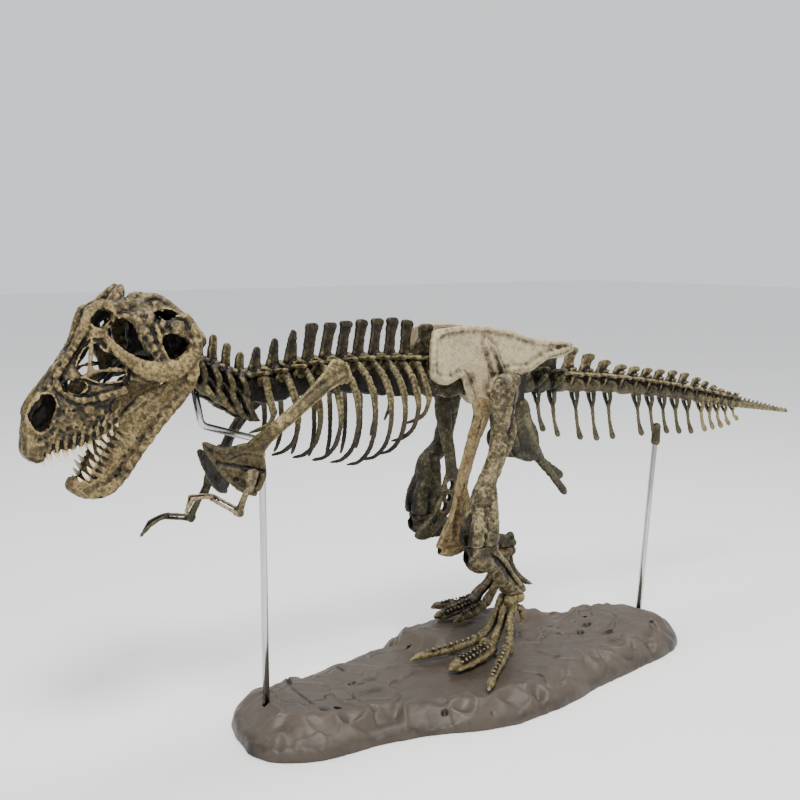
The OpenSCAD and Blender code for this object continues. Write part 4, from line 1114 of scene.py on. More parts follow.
def build_scapula(side, word):
    node = f"scapula_{word}"
    low, high = node_box(node)
    drop = GIRDLE_DROP[side]
    clay = Clay(low - (3, 3, 3), high + (3, 3, 3), 0.7)

    def spot(x, z, lift=0.0):
        return (x, side * (float(at(x, BLADE_MIDDLE)) + lift), z - drop)

    def middle(x, z):
        return side * at(x, BLADE_MIDDLE)

    def half(x, z):
        return np.interp(x, [-316, -290, -262, -225, -200], [1.7, 2.4, 2.2, 1.5, 1.2])

    clay.plate([(x, z - drop) for x, z in BLADE], middle, half, k=1, rounding=0.9)
    # thick edges and the strut down the blade
    clay.tube(along(spot, (-206, 317, 0.4), (-226, 307, 0.8), (-246, 293, 0.8), (-264, 278, 0.8),
                    (-280, 262, 0.6)), [1.8, 2.2, 2.6, 3.2, 3.4], k=2.5)
    clay.tube(along(spot, (-215, 327), (-204, 324), (-200, 315), (-203, 309)), 1.7, k=1.2)
    clay.tube(along(spot, (-289, 261, 0.5), (-301, 257, 0.5), (-309, 259, 0.5), (-316, 262, 0.5),
                    (-311, 251, 0.5), (-303, 238, 0.5), (-293, 226, 0.5), (-283, 221, 0.5)),
              [2.2, 2.4, 2.2, 1.8, 2, 2.2, 2.4, 2.4], k=1.2)
    clay.tube(along(spot, (-277, 248, 0.4), (-277, 236, 0.6), (-281, 226, 0.6)), [2.0, 2.4, 2.4],
              k=2)
    clay.tube(along(spot, (-308, 247, 2.6), (-293, 243, 3.2), (-278, 240, 3.4)), [1.4, 1.9, 1.5],
              k=1.2, cut=True)
    clay.tube(along(spot, (-300, 250, 2.8), (-290, 254, 3.2), (-278, 252, 3.6)), [0.8, 1.2, 0.9],
              k=1.2, cut=True)
    clay.blob(spot(-296, 233, 3.0), (1.8, 2, 1.8), k=1, cut=True)
    # socket for the arm and the peg to the rib
    seat = ARM_JOINTS[side][0]
    clay.tube([(seat[0], side * 19, seat[1]), (seat[0], side * 27, seat[1])], [5.0, 4.6], k=2.5)
    clay.tube([(seat[0], side * 26, seat[1]), (seat[0], side * 32, seat[1])], [2.2, 2.2], k=0.4,
              cut=True)
    clay.tube([(-207.7, side * 43, 308 - drop * 0.9), (-207.7, side * 32, 308 - drop * 0.9)], 1.3,
              k=0.8)
    clay.piece(f"shoulder_blade_{word}", BLADE_PAINT if side == LEFT else SHADED, replaces=[node],
               grains=FINE_GRAINS, inner=lambda x, y, z: 0.17 * np.clip((-266 - x) / 12, 0, 1))


def build_arm(side, word):
    node = f"arm_{word}"
    clay = clay_for(node, (3, 3, 3), (3, 3, 3), 0.5)
    seat, elbow, wrist, knuckle, tip = [np.array([x, side * 33.0, z]) for x, z in ARM_JOINTS[side]]
    up = seat - elbow
    up /= np.linalg.norm(up)
    fore = wrist - elbow
    fore /= np.linalg.norm(fore)
    across = np.array([-up[2], 0, up[0]])
    clay.tube([seat + (3, side * -0.5, 4), seat, 0.75 * seat + 0.25 * elbow - across * 1.5,
               0.5 * (seat + elbow), 0.2 * seat + 0.8 * elbow, elbow],
              [2.8, 4.2, 3.0, 2.2, 2.5, 3.1], k=1.5)
    clay.blob(seat + up * 3.4 + across * 2, (3.2, 3, 2.8), k=2)
    clay.blob(0.68 * seat + 0.32 * elbow - across * 3.2, (2.2, 1.6, 3.2), k=2)
    clay.blob(elbow - up * 1.2 + across * 1.8, (2.8, 3, 2.6), k=1.5)
    clay.blob(elbow - up * 1.6 - across * 1.6, (2.6, 2.8, 2.4), k=1.5)
    for e in (-1, 1):
        out = np.cross(fore, [0, 1, 0]) * 1.7 * e + np.array([0, side * 0.7 * e, 0])
        clay.tube([elbow + fore * 0.5 + out * 0.9, 0.6 * elbow + 0.4 * wrist + out * 1.05,
                   wrist + out * 0.9], [2.0 if e > 0 else 1.6, 1.25, 1.6], k=0.7)
    clay.blob(elbow - fore * 2.8, (2, 2, 2), k=1.5)
    clay.blob(wrist + fore * 1.6, (2.4, 2.7, 2.3), k=1.2)
    for e in (-1, 1):
        start = wrist + fore * 2.2 + (0, 1.2 * e, 0.5 * e)
        mid = knuckle + (0, 2.2 * e, 0.6 * e)
        end = tip + (2 * e, 2.6 * e, 0.6 * (1 - e))
        clay.tube([start, 0.5 * (start + mid) + (0, 0.3 * e, 0.6), mid], [1.7, 1.15, 1.6], k=0.8)
        clay.tube([mid, 0.62 * mid + 0.38 * end + (-0.6, 0, 0)], [1.5, 1.5], k=0.8)
        clay.tube([0.62 * mid + 0.38 * end + (-0.6, 0, 0), 0.25 * mid + 0.75 * end + (-1.2, 0, 0),
                   end], [1.7, 1.2, 0.45], k=0.5)
    # the plug that the arm turns on
    clay.tube([seat, seat - (0, side * 12, 0)], [2.0, 1.9], k=0.3)
    clay.piece(f"arm_bones_{word}", PALE if side == LEFT else SHADED, body=node, replaces=[node],
               grains=((3.5, 0.25), (1.5, 0.16)))


# ---------------------------------------------------------------- pelvis
ILIUM = [(-99, 302), (-99, 322), (-97, 340), (-91, 347), (-68, 348.5), (-42, 348), (-6, 342),
         (24, 333), (50, 330), (72, 328), (77, 324), (76, 318), (60, 313), (38, 311), (28, 307),
         (17, 297), (14, 283), (12, 269), (2, 269), (-1, 281), (-12, 289), (-24, 284), (-31, 275.4),
         (-52, 275.4), (-58, 290), (-64, 304), (-73, 302), (-82, 299)]
HIP = (-12, 284)


def build_ilium(side, word):
    node = f"ilium_{word}"
    clay = clay_for(node, (3, 2, 3), (3, 3, 3), 0.8)

    def ring(x, z):
        return np.hypot(x - HIP[0], z - HIP[1])

    def half(x, z):
        edge = -outline_distance(line, x, z)
        swell = np.clip(1 - np.abs(edge - 1.5) / 3.5, 0, 1)
        return 2.2 + 0.3 * swell

    line = catmull(ILIUM, 3, closed=True)

    def spot(x, z, lift=0.0):
        return (x, side * (23.4 + lift), z)

    clay.plate(ILIUM, side * 21, half, k=1, rounding=1.0, smooth=3, reach=12)
    # ridges: over the hip, up the middle, and along the rear
    clay.tube(along(spot, (-36, 334), (-29, 322, 0.8), (-24, 310, 1.2), (-20, 303, 1.0)),
              [1.2, 2.2, 2.6, 2.4], k=6)
    clay.tube(along(spot, (-31, 287, 0.6), (-22, 300, 0.8), (-6, 304, 0.8), (12, 304, 0.6),
                    (28, 310, 0.8), (44, 317, 0.4), (70, 322)), [2.6, 2.4, 2.2, 2.2, 2.0, 1.6, 1.2],
              k=4)
    clay.tube(along(spot, (-97, 305), (-89, 300), (-76, 300), (-64, 304), (-58, 292), (-52, 280)),
              [1.6, 1.8, 1.8, 2.0, 1.9, 1.9], k=4)
    clay.tube(along(spot, (-96, 306), (-97, 324), (-94, 341), (-70, 346), (-42, 346), (-6, 340),
                    (26, 331), (70, 326)), 0.8, k=4)
    clay.tube([spot(-56, 290, 4), spot(-50, 308, 4.4)], [5.6, 5], flat=((0, 1, 0), 1.9), k=4,
              cut=True)
    def collar(x, y, z):
        """The thick ring round the open hollow of the hip socket."""
        around = np.hypot(ring(x, z) - 15.5, (y - side * 24.4) * 1.15)
        return around - 2.5 - 0.7 * np.clip((z - HIP[1]) / 16, -1, 1)

    clay.blend((HIP[0] - 24, min(side * 14, side * 32), HIP[1] - 24),
               (HIP[0] + 24, max(side * 14, side * 32), HIP[1] + 24), collar, 1.5)
    clay.tube([(HIP[0], side * 30, HIP[1]), (HIP[0], side * 22.5, HIP[1])], [13.2, 12], k=1,
              cut=True)
    # Painted shade on the rear lower corner of the blade and in the notch behind the front lobe.
    clay.piece(f"ilium_bone_{word}", HIP_PAINT, replaces=[node],
               grains=((12, 0.5), (4.6, 0.3), (1.8, 0.16)), inner=lambda x, y,
               z: 0.75 * np.clip((x + 2) / 6, 0, 1) * np.clip((300 - z) / 6, 0, 1) + 0.5
               * np.clip(1 - np.hypot((x + 53) / 7, (z - 298) / 10), 0, 1))


def build_pubis(side, word):
    node = f"pubis_{word}"
    clay = clay_for(node, (5, 3, 3), (5, 3, 3), 0.7)
    left = side == LEFT

    p = sided(side)

    if left:
        clay.tube([p(-36, 21, 271), p(-40, 20, 258), p(-44, 16, 240), p(-47, 12.5, 222),
                   p(-52, 11, 204), p(-56, 11, 184), p(-58, 11, 166)],
                  [9.4, 8.4, 7.4, 6.8, 6.6, 7.2, 8], flat=((0, 1, 0), 2.0), k=2)
        clay.plate([(-50, 196), (-45, 178), (-42, 163), (-48, 146), (-54, 133), (-68, 130.5),
                    (-82, 134), (-84, 141), (-78, 153), (-70, 166), (-62, 184), (-57, 196)],
                   side * 12.5, lambda x,
                   z: np.interp(z, [130, 140, 165, 196], [3.0, 3.2, 3.6, 2.6]), k=2, rounding=2)
        clay.tube([p(-80, 13, 136), p(-67, 13, 134), p(-53, 13, 136)], [3.6, 4.2, 3.6], k=2)
        clay.tube([p(-60, 16.8, 186), p(-64, 17.5, 164), p(-66, 17.8, 146)], [1.6, 2.6, 2.2], k=2,
                  cut=True)
        clay.tube([p(-41, 25, 262), p(-46, 20.4, 232), p(-52, 16.4, 204), p(-58, 16.6, 186)],
                  [0.8, 1.5, 1.6, 1.4], k=1.8, cut=True)
        clay.blob(p(-83, 12.5, 137), (3, 3, 3), k=1.5, cut=True)
    else:
        clay.tube([p(-53, 21, 269), p(-52, 20, 256), p(-51, 16, 236), p(-49, 13, 216),
                   p(-50, 12, 198), p(-56, 12, 180), p(-64, 12, 166)], [9.4, 8, 6.8, 6.2, 6, 6, 6],
                  flat=((0, 1, 0), 1.9), k=2)
        clay.plate([(-40, 206), (-42, 190), (-46, 172), (-60, 156), (-74, 143), (-86, 142),
                    (-92, 146), (-88, 152), (-72, 165), (-62, 182), (-54, 204)], side * 12.5, 2.9,
                   k=2, rounding=2)
        for x, z, r in ((-52, 192, 4.2), (-60, 172, 4.4), (-70, 160, 2.8), (-54, 180, 3.2)):
            clay.blob(p(x, 12.5, z), (r, 8, r * 1.15), k=1.2, cut=True)
    clay.tube([p(-41, 22, 268), p(-41, 21, 274)], [8.4, 9], flat=((0, 1, 0), 2.2), k=2)
    clay.piece(f"pubis_bone_{word}", TAWNY if left else SHADED, replaces=[node], grains=BONE_GRAINS)


def build_ischium(side, word):
    node = f"ischium_{word}"
    clay = clay_for(node, (4, 3, 3), (4, 3, 3), 0.7)

    p = sided(side)

    clay.tube([p(12, 21, 268), p(14, 20.4, 257), p(20, 17, 243), p(27, 14.5, 231)],
              [8, 9.5, 11, 8.5], flat=((0, 1, 0), 2.6), k=2)
    shaft = ([p(22, 16.5, 240), p(36, 13, 222), p(50, 10, 206), p(66, 8.6, 190), p(79, 8.2, 176),
              p(83, 8, 171)] if side == LEFT else [p(22, 16.5, 240), p(38, 13, 223), p(56, 10, 210),
                                                   p(75, 9, 197), p(88, 8.4, 188), p(92, 8, 185)])
    clay.tube(shaft, [7.6, 6.4, 4.4, 3.8, 3.6, 3.0], flat=((0, 1, 0), 1.3), k=2)
    clay.tube([p(5, 17, 236), p(8, 16, 224), p(20, 14, 218), p(34, 12.6, 213)],
              [4.2, 4.0, 4.2, 3.4], k=4)
    clay.plate([(6, 262), (34, 246), (38, 224), (30, 214), (8, 222), (4, 240)], side * 16, 1.8, k=3,
               rounding=1.4)
    clay.tube([p(16, 21.6, 258), p(24, 18.4, 242), p(38, 14.6, 224)], [1.4, 1.8, 1.2], k=1.5,
              cut=True)
    clay.piece(f"ischium_bone_{word}", SHADED, replaces=[node], grains=BONE_GRAINS)


# ---------------------------------------------------------------- legs
KNEES = {LEFT: (-57, 43, 146), RIGHT: (-60, 41, 161)}
ANKLES = {LEFT: (10, 16, 81), RIGHT: (50, 44, 108)}
TOES = {LEFT: (((-36, -2, 36), (-68, -2, 33), (-103, -4, 27.6)),
               ((-36, 22, 36), (-62, 32, 33), (-87, 37, 27.6)),
               ((-27, 38, 35), (-58, 68, 32), (-87, 94, 27.4))),
        RIGHT: (((14, 42, 50), (-6, 38, 46), (-26, 36, 41.4)),
                ((12, 54, 51), (-10, 56, 47), (-35, 57, 41.4)),
                ((18, 66, 50), (2, 76, 46), (-18, 85, 41.2)))}


def build_thigh(side, word):
    node = f"thigh_{word}"
    clay = clay_for(node, (5, 4, 3), (5, 4, 3), 0.8)
    k = np.array(KNEES[side], float)

    p = sided(side)

    def near_knee(dx, dy, dz):
        return (k[0] + dx, side * (k[1] + dy), k[2] + dz)

    # head and neck into the hip, then the shaft
    clay.tube([(HIP[0], side * 25, HIP[1]), (HIP[0] - 2, side * 31, HIP[1] + 1),
               (HIP[0] - 9, side * 38, HIP[1] + 1)], [8.6, 8.4, 9.5], k=3)
    clay.tube([p(-25, 40, 294), p(-27, 40, 284), p(-29, 41, 266), p(-33, 42, 246), p(-39, 43, 224),
               near_knee(3, 0.5, 50), near_knee(1, 0, 34), near_knee(0, 0, 20)],
              [10.2, 10.6, 9.4, 8.4, 8.2, 8.6, 9.6, 11], k=3)
    clay.tube([p(-36, 43, 296), p(-38, 44, 284), p(-38, 44.5, 268), p(-37, 44, 254)],
              [4.2, 6, 5, 3], k=3)
    clay.blob(p(-17, 39, 297), (9.5, 9, 6.5), k=3)
    clay.tube([p(-22, 47, 262), p(-24, 48, 246), p(-30, 48, 230)], [2, 3.4, 2], k=3)
    # the two rollers of the knee, with a groove between them
    for dy, wide in ((-6.4, 1.0), (6.2, 1.08)):
        clay.tube(along(near_knee, (9, dy, 52), (8.5, dy, 30), (7, dy, 14), (5, dy, 2)),
                  [4.6, 5.8, 7.4 * wide, 8.2 * wide], k=3)
        clay.tube(along(near_knee, (-4, dy * 0.9, 34), (-9, dy * 0.9, 18), (-10, dy * 0.9, 3)),
                  [4.4, 6.4, 7.6], k=3)
    clay.tube(along(near_knee, (-13, 0.4, 30), (-16, 0.4, 16), (-12, 0.4, 3)), [1.6, 3.0, 2.8], k=3,
              cut=True)
    clay.tube(along(near_knee, (16, 0, 26), (18, 0, 12), (16, 0, 1)), [1.8, 3.0, 2.4], k=3,
              cut=True)
    # the long groove down the outer face
    clay.tube(along(near_knee, (3, 10, 84), (1, 12, 60), (-1, 13, 38), (-2, 15.5, 18),
                    (-2, 16.5, 2)), [0.8, 1.4, 1.8, 2.2, 2.2], k=3.5, cut=True)
    clay.tube([p(-22, 51, 286), p(-25, 51.2, 268), p(-30, 51, 250)], [1.1, 1.5, 1.0], k=2, cut=True)
    rng = np.random.default_rng(31)
    for _ in range(20):
        a = rng.uniform(0, 2 * math.pi)
        h = rng.uniform(4, 42)
        wide = np.interp(h, [0, 20, 45], [11, 11.5, 7.5])
        clay.tube([near_knee(wide * math.cos(a), wide * math.sin(a), h),
                   near_knee(wide * 0.9 * math.cos(a), wide * 0.9 * math.sin(a),
                             h + rng.uniform(5, 12))], [rng.uniform(0.8, 1.6), 0.6], k=1.8)
    clay.blend((-120, -80, 0), (40, 80, k[2] + 6), lambda x, y, z: z - (k[2] + 0.6), 0.6, cut=True)
    clay.piece(f"thigh_bone_{word}", PALE if side == LEFT else SHADED, replaces=[node],
               grains=((10, 0.5), (3.4, 0.42), (1.6, 0.28)))


def build_shin(side, word):
    node = f"shin_{word}"
    clay = clay_for(node, (5, 4, 3), (5, 4, 3), 0.75)
    k = np.array(KNEES[side], float)
    q = np.array(ANKLES[side], float)

    def p(share, dx=0.0, dy=0.0, dz=0.0):
        c = k * (1 - share) + q * share
        return (c[0] + dx, side * (c[1] + dy), c[2] + dz)

    bulk = 1.0 if side == LEFT else 0.8
    clay.tube([p(0, -5, 0.5, -2), p(0, -3, 0, -12), p(0.14, 2, 0, -10)],
              [9 * bulk, 10.5 * bulk, 9.4 * bulk], k=3)
    for dy in (-5.6, 6.0):
        clay.tube([p(0, -8, dy, -2.5), p(0, 9, dy, -2.5)], [6.6 * bulk, 6.8 * bulk], k=2.5)
    clay.tube([p(0, -12.5, 0, -4), p(0, -13.6, 0, -12), p(0.12, -10, 0, -16), p(0.26, -5, 0, -12)],
              [3.2, 4.4, 4.2, 2.6], k=2.5)
    clay.tube([p(0.06, 2, 0, -10), p(0.28, 2, 0, -6), p(0.5, -1, 0, -2), p(0.74, -3, 0, 1),
               p(0.9, -3, 0, 2.5), p(1, -3, 0, 5)], [9.6 * bulk, 8.6 * bulk, 7.8 * bulk, 7.4 * bulk,
                                                     8 * bulk, 9 * bulk], k=2.5)
    # the thin outer bone beside the main one
    clay.tube([p(0.0, 8, 9.4, -4), p(0.16, 11, 8.6, -5), p(0.42, 9, 6.6, 0), p(0.7, 5, 5.6, 4),
               p(0.96, 3, 6.2, 6)], [3.6, 3.2, 2.6, 2.4, 3.2], k=0.8)
    clay.tube([p(0.1, 6, 11, -8), p(0.4, 3, 9.6, -3), p(0.7, -1, 8.8, 1)], [0.9, 1.1, 0.7], k=2.4,
              cut=True)
    for dy in (-4.8, 4.8):
        clay.tube([p(1, -9, dy, 3), p(1, 4, dy, 3)], [5.4 * bulk, 5.8 * bulk], k=2)
    if side == RIGHT:
        clay.blob(p(1, 5, 0, 8), (5, 5, 6), k=2)
    clay.blend((-120, -80, 0), (90, 80, q[2] + 5), lambda x, y, z: z - (q[2] + 0.5), 0.6, cut=True)
    clay.blend((-120, -80, k[2] - 5), (90, 80, 400), lambda x, y, z: (k[2] - 0.5) - z, 0.6,
               cut=True)
    clay.piece(f"shin_bone_{word}", PALE if side == LEFT else SHADED, replaces=[node],
               grains=((8, 0.4), (3, 0.35), (1.6, 0.25)))


LEFT_METATARSALS = (((-3, 12, 74), (-6, 9, 62), (-8, 7, 52), (-14, 4, 42), (-25, 1, 33)),
                    ((1, 16, 74), (-5, 17, 62), (-9, 18, 50), (-16, 20, 41), (-26, 24, 34)),
                    ((6, 20, 74), (0, 23, 62), (-5, 27, 52), (-10, 33, 41), (-15, 38, 32)))


def build_foot(side, word):
    node = f"foot_{word}"
    clay = clay_for(node, (6, 5, 0), (6 if side == LEFT else 36, 5, 3), 0.65)
    q = np.array(ANKLES[side], float)
    floor = PLAIN if side == LEFT else MOUND
    rng = np.random.default_rng(41)

    def flip(v):
        return np.array([v[0], side * v[1], v[2]])

    # ankle: a rough drum on top of three long bones
    for dy in (-4.6, 4.6):
        clay.tube([flip(q + (-10, dy, -6)), flip(q + (3, dy, -5))], [5.6, 5.4], k=2.5)
    clay.tube([flip(q + (-8, -2, -12)), flip(q + (-8, 4, -12))], [5.6, 5.6], k=3)
    left = side == LEFT
    for n, toe in enumerate(TOES[side]):
        base, mid, tip = [np.array(t, float) for t in toe]
        out = (n - 1) * 5.6
        foot = base + ((8, 0, 2) if n == 0 else (6, 0, 2) if n == 1 else (8, 0, 1))
        drop = foot - q
        line = [q + (-6, out, -8), q + (-8, out * 1.05, -20),
                q + (0.62 * drop[0], 0.5 * out + 0.5 * drop[1], 0.72 * drop[2]), foot + (5, 0, 6),
                foot]
        if left:
            line = LEFT_METATARSALS[n]
            foot = np.array(line[-1], float)
        clay.tube([flip(c) for c in line], [4.8, 3.9, 3.6, 3.9, 4.9] if left else [5.2, 4.3, 4.0,
                                                                                   4.4, 5.4], k=1.0)
        # the toe: a knuckle, bones that swell at each joint, then a claw
        start = foot + (-4, 0, 0) if left else base + (2, 0, -1)
        line = catmull([start, 0.5 * start + 0.5 * mid + (0, 0, -2.5),
                        mid - (0, 0, 3.4 if left else 1), 0.45 * mid + 0.55 * tip - (0, 0, 0.4),
                        tip], 6)
        spots = [np.array([np.interp(v, range(len(line)), line[:, c]) for c in range(3)])
                 for v in np.linspace(0, len(line) - 1, 9)]
        scale = (0.86, 1.2, 0.94)[n] if left else (0.9, 1.08, 0.94)[n]
        clay.blob(flip(start + (1, 0, 0.5)), (6.2 * scale, 5.6 * scale, 6.0 * scale), k=0.8)
        for i in range(3):
            a, b = spots[2 * i], spots[2 * i + 2]
            r = (5.3 - 0.5 * i) * scale
            clay.tube([flip(a), flip(0.5 * (a + b) - (0, 0, 0.4)), flip(b)],
                      [r, 0.74 * r, 0.96 * r], k=0.8)
            if n == 1:
                clay.tube([flip(a + (0, 0, -2)), flip(b + (0, 0, -2))], [1.5 * r, 1.45 * r],
                          flat=((0, 0, 1), 1.9), k=2)
        for j in range(9):
            spot = spots[0] + (spots[6] - spots[0]) * j / 8.5
            for dy in ((-1, 0, 1) if n == 1 else (0,)):
                clay.blob(flip(spot + (0, dy * 4.6, (4.4 - abs(dy) * 1.6) * scale)),
                          rng.uniform(1.1, 1.7), k=1.5)
        a, b = spots[6], spots[8]
        clay.tube([flip(a), flip(0.6 * a + 0.4 * b + (0, 0, 1.2)),
                   flip(0.25 * a + 0.75 * b + (0, 0, 0.6)), flip(b)],
                  [4.4 * scale, 3.6 * scale, 2.2 * scale, 0.6], k=0.8)
    # the small toe behind
    heel = q + (-1, 3, -15)
    clay.tube([flip(heel), flip(heel + (7, 0, -3)), flip(heel + (9, 0, -10))], [3.6, 2.6, 2.6],
              k=1.5)
    clay.tube([flip(heel + (9, 0, -10)), flip(heel + (9.5, 0, -16)), flip(heel + (7.5, 0, -21))],
              [2.4, 1.6, 0.5], k=1)
    if not left:
        # the long spur of the heel
        clay.tube([flip(q + (1, 0, -6)), flip(q + (5, 0, -20)), flip(q + (13, 0, -32)),
                   flip(q + (24, 0, -42)), flip(q + (38, 0, -49))], [5.6, 4.2, 3.6, 3.2, 0.8], k=2)
    # the sole peg under the middle toe
    peg_x, peg_y = (-30, side * 20) if left else (14, side * 54)
    sole = TOES[side][1][0][2]
    clay.tube([(peg_x, peg_y, sole), (peg_x, peg_y, sole - 6)], [6, 5.4], k=2)
    clay.blend((-140, -140, 0), (90, 140, floor + 5), lambda x, y, z: z - (floor + 0.3), 0.4,
               cut=True)
    clay.piece(f"foot_bones_{word}", BONE if left else SHADED_FOOT, replaces=[node],
               grains=((6, 0.3), (2.6, 0.26), (1.5, 0.18)))


# ---------------------------------------------------------------- rods and base
def build_rods():
    def bend(corner, a, b, r=9.0, steps=10):
        """Points round one corner of a bent rod."""
        corner, a, b = (np.array(v, float) for v in (corner, a, b))
        u, v = (a - corner) / np.linalg.norm(a - corner), (b - corner) / np.linalg.norm(b - corner)
        half = math.acos(float(u @ v)) / 2
        reach = r / math.tan(half)
        middle = corner + (u + v) / np.linalg.norm(u + v) * r / math.sin(half)
        start, end = corner + u * reach - middle, corner + v * reach - middle
        angle = math.acos(float(start @ end) / r ** 2)
        return [middle + (math.sin((1 - t) * angle) * start + math.sin(t * angle)
                          * end) / math.sin(angle) for t in np.linspace(0, 1, steps)]

    foot, knee, shoulder, top = (-261, 0, 10.2), (-261, 0, 259), (-316, 0, 277), (-323, 0, 316)
    line = [foot, (-261, 0, 100)] + bend(knee, foot, shoulder) + bend(shoulder, knee, top) + [top]
    mesh_piece("front_rod_bar", [round_bar(line, 3.0)], STEEL, replaces=["front_rod"])
    low, high = node_box("tail_rod")
    a, b = np.array([low[0] + 3.2, 0, low[2] + 0.4]), np.array([high[0] - 3.2, 0, high[2] - 0.4])
    line = [a + (b - a) * t for t in (0, 0.3, 0.6, 0.985, 1)]
    mesh_piece("tail_rod_bar", [round_bar(line, [3, 3, 3, 3, 2.4])], STEEL, replaces=["tail_rod"])
    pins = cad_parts["jaw_pins"]
    pins.data.materials.clear()
    pins.data.materials.append(SKULL)


ROCK_EDGE = ((0.005, -0.1), (0, -0.18), (0.03, -0.3), (0.1, -0.36), (0.22, -0.4), (0.3, -0.46),
             (0.37, -0.54), (0.47, -0.565), (0.58, -0.53), (0.68, -0.47), (0.8, -0.43),
             (0.92, -0.37), (0.99, -0.24), (1, -0.05), (0.97, 0.12), (0.88, 0.2), (0.76, 0.26),
             (0.66, 0.36), (0.58, 0.43), (0.5, 0.42), (0.42, 0.4), (0.33, 0.34), (0.24, 0.3),
             (0.15, 0.29), (0.07, 0.25), (0.02, 0.1))
RAISED = ((-60, 20), (-20, 28), (40, 28), (90, 34), (90, 120), (-70, 120))


def build_base():
    low, high = node_box("base")
    clay = Clay((low[0] - 8, low[1] - 8, -3), (high[0] + 8, high[1] + 8, high[2] + 5), 1.25)
    length = high[0] - low[0]
    edge = catmull([(low[0] + s * length, w * BASE_WIDTH) for s, w in ROCK_EDGE], 6, closed=True)
    step = catmull(RAISED, 4, closed=True)
    flats = [(t[1][0], side * t[1][1], 30 if side == LEFT else 26) for side,
             _ in SIDES for t in TOES[side]]

    def rock(x, y, z):
        shape = np.broadcast_shapes(x.shape, y.shape, (1, 1, 1))[:2]
        gx = np.broadcast_to(x[:, :, 0], shape)
        gy = np.broadcast_to(y[:, :, 0], shape)
        ground = np.stack([gx, gy, 0 * gx], axis=-1)
        side_wave = 5.0 * grain(ground, 46, 71) + 2.6 * grain(ground, 21, 72) + 1.2 * grain(ground,
                                                                                            10, 73)
        out = outline_distance(edge, gx, gy)
        lift = MOUND - PLAIN
        rise = np.clip((-outline_distance(step, gx, gy) + 16) / 22, 0, 1)
        rise = rise * rise * (3 - 2 * rise)
        roll = 1.5 * grain(ground, 60, 74) + 1.1 * grain(ground, 27, 75) + 0.5 * grain(ground, 12,
                                                                                       76)
        calm = 1.0
        for fx, fy, r in flats:
            calm = calm * np.clip((np.hypot(gx - fx, gy - fy) - r * 0.6) / r, 0.12, 1)
        ends = (5.0 * np.clip((-185 - gx) / 55, 0, 1)
                + 7.5 * np.clip((gx - 92) / 50, 0, 1) * np.clip((gy + 75) / 45, 0, 1))
        top = 23.2 + lift * rise + roll * calm + ends
        # the rim rolls down to the edge in a folded bank
        inset = -out + 0.8 * side_wave
        bank = np.clip(1 - (inset + 4) / 30, 0, 1)
        crease = 1 - np.abs(grain(ground + 14 * np.stack([grain(ground, 26, 81),
                                                          grain(ground, 26, 82), 0 * gx], axis=-1),
                                  19, 80)) * 3.4
        top = top - (13.0 + 0.6 * ends) * bank ** 1.5 + (3.6 * crease * np.clip(bank * 3, 0, 1)
                                                         * np.clip(1.25 - bank, 0, 1))
        top = np.minimum(top, PLAIN + lift * rise + ends)
        warped = ground + 9 * np.stack([grain(ground, 20, 83), grain(ground, 20, 84), 0 * gx],
                                       axis=-1)
        shelf = grain(warped * (0.6, 1.2, 1), 34, 85)
        top = top + 1.6 * np.clip((shelf - 0.12) / 0.05, 0, 1) * calm - 1.4
        top = top + 1.2 * np.clip((grain(warped * (0.5, 1.3, 1), 21, 86) - 0.3) / 0.08, 0, 1) * calm
        crack = np.abs(grain(warped, 38, 77) + 0.35 * grain(ground, 13, 78))
        where = np.clip(4 * grain(ground, 90, 87), 0, 1) * np.minimum(calm + 0.2, 1)
        top = top - 1.8 * np.clip(1 - crack / 0.05, 0, 1) * np.clip((inset - 4) / 8, 0, 1) * where
        folds = 3.2 * grain(ground, 17, 79)
        flare = np.clip(z / 24, 0, 1)
        wide = np.interp(gx, [-284, -200, 120, 217], [11.0, 6.0, 3.0, 1.0])
        wall = (out[..., None] - wide[..., None] + 9.5 * flare ** 1.5 + folds[..., None]
                * (0.35 + 0.65 * flare) + 0.5 * np.maximum(0, side_wave[..., None]) * flare)
        body = -smooth_min(-wall * 0.8, -(z - top[..., None]) * 0.9, 5)
        return np.maximum(body, -z)

    clay.blend((low[0] - 14, low[1] - 14, -5), (high[0] + 14, high[1] + 14, high[2] + 9), rock, 0.6)
    rod, tail = node_box("front_rod"), node_box("tail_rod")
    clay.tube([(rod[1][0] - 3, 0, 8), (rod[1][0] - 3, 0, 40)], [3.5, 3.5], k=0.5, cut=True)
    clay.tube([(tail[0][0] + 3.2, 0, 8), (tail[0][0] + 5.6, 0, 40)], [3.5, 3.6], k=0.5, cut=True)
    for x, y, z, r in ((-173, -1, 23.5, 3.6), (95, -24, 24, 3.6), (-130, -86, 15, 2.8),
                       (-93, -108, 15, 2.6), (-70, -101, 18, 3.2), (-213, -40, 20, 3.6)):
        clay.blob((x, y, z), (r, r, 4.6), k=1, cut=True)
    # a few open cracks and the edges of broken slabs
    for line in ([(-214, 52), (-226, 14), (-229, -26)], [(-208, 50), (-210, 30)],
                 [(-165, 54), (-164, 28)], [(-95, 43), (-69, 42), (-72, 60)],
                 [(-169, -50), (-170, -70)], [(-175, -7), (-166, -8)]):
        clay.tube([(x, y, 26.0 if x < -200 else 24.0) for x, y in line], 1.5, k=0.8, cut=True)
    rng = np.random.default_rng(51)
    for _ in range(34):
        x, y = rng.uniform(-270, 205), rng.uniform(-105, 78)
        clay.blob((x, y, 24.6), (rng.uniform(3, 8), rng.uniform(2, 5), 1.6), k=2, cut=True)
    clay.piece("rock_base", ROCK, replaces=["base"], slot="rock", grains=((9, 0.35), (4, 0.22)))


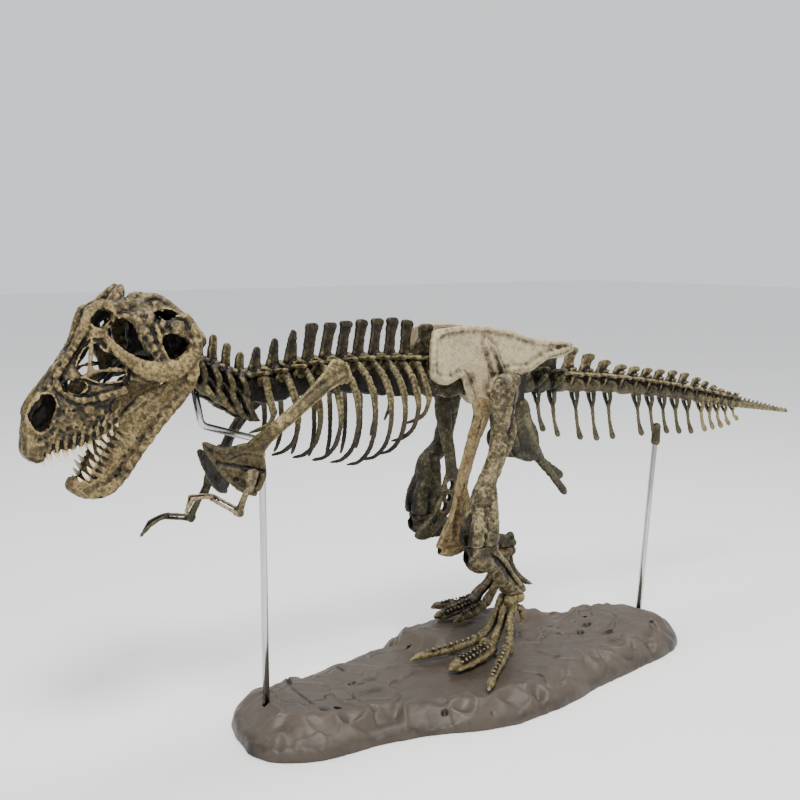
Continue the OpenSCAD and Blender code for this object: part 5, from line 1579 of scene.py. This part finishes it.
# ---------------------------------------------------------------- stage, camera and lights
def build_stage():
    material, nodes, links, body = shader("floor_paint")
    coords = object_coords(nodes)
    links.new(ramp(nodes, links, noise(nodes, links, coords, 3, 2), [
        (0.3, (0.86, 0.86, 0.86)), (0.7, (0.88, 0.88, 0.875))]), body.inputs["Base Color"])
    body.inputs["Roughness"].default_value = 0.7
    mesh = bpy.data.meshes.new("floor")
    mesh.from_pydata([(-9, -9, 0), (9, -9, 0), (9, 9, 0), (-9, 9, 0)], [], [(0, 1, 2, 3)])
    mesh.materials.append(material)
    floor = bpy.data.objects.new("floor", mesh)
    bpy.context.scene.collection.objects.link(floor)

    world = bpy.data.worlds.new("studio")
    world.use_nodes = True
    world.node_tree.nodes["Background"].inputs["Color"].default_value = (0.95, 0.97, 1.0, 1)
    world.node_tree.nodes["Background"].inputs["Strength"].default_value = 1.0
    bpy.context.scene.world = world

    def area(name, location, target, size, power, color=(1, 1, 1)):
        light = bpy.data.lights.new(name, "AREA")
        light.shape = "DISK"
        light.size = size
        light.energy = power
        light.color = color
        lamp = bpy.data.objects.new(name, light)
        lamp.location = location
        lamp.rotation_euler = aim(location, target)
        bpy.context.scene.collection.objects.link(lamp)

    area("key", (-0.7, -1.0, 1.7), (-0.1, 0, 0.2), 0.5, 42, (1.0, 0.98, 0.93))
    area("top", (0.3, 0.2, 1.9), (0, 0, 0.2), 0.7, 24)


def aim(location, target):
    """Euler angles that point a camera or lamp at a place."""
    from mathutils import Vector
    return (Vector(target) - Vector(location)).to_track_quat("-Z", "Y").to_euler()


def build_camera():
    data = bpy.data.cameras.new("camera")
    data.lens = 49.5
    data.sensor_width = 36
    camera = bpy.data.objects.new("camera", data)
    camera.location = (-0.6914, -0.8187, 0.4225)
    camera.rotation_euler = aim(camera.location, (-0.118, 0, 0.282))
    bpy.context.scene.collection.objects.link(camera)
    bpy.context.scene.camera = camera


build_spine()
build_ribs()
build_skull()
build_jaw()
build_teeth("upper_teeth", UPPER_GUM, UPPER_COUNT, (0.02, 0.1, -1), (0.25, 0, 0), "frame")
build_teeth("lower_teeth", LOWER_GUM, LOWER_COUNT, (-0.75, 0.1, 0.62), (0.1, 0, 0.2), "jaw")
for side, word in SIDES:
    build_scapula(side, word)
    build_arm(side, word)
    build_ilium(side, word)
    build_pubis(side, word)
    build_ischium(side, word)
    build_thigh(side, word)
    build_shin(side, word)
    build_foot(side, word)
build_rods()
build_base()
build_stage()
build_camera()

bpy.context.view_layer.update()
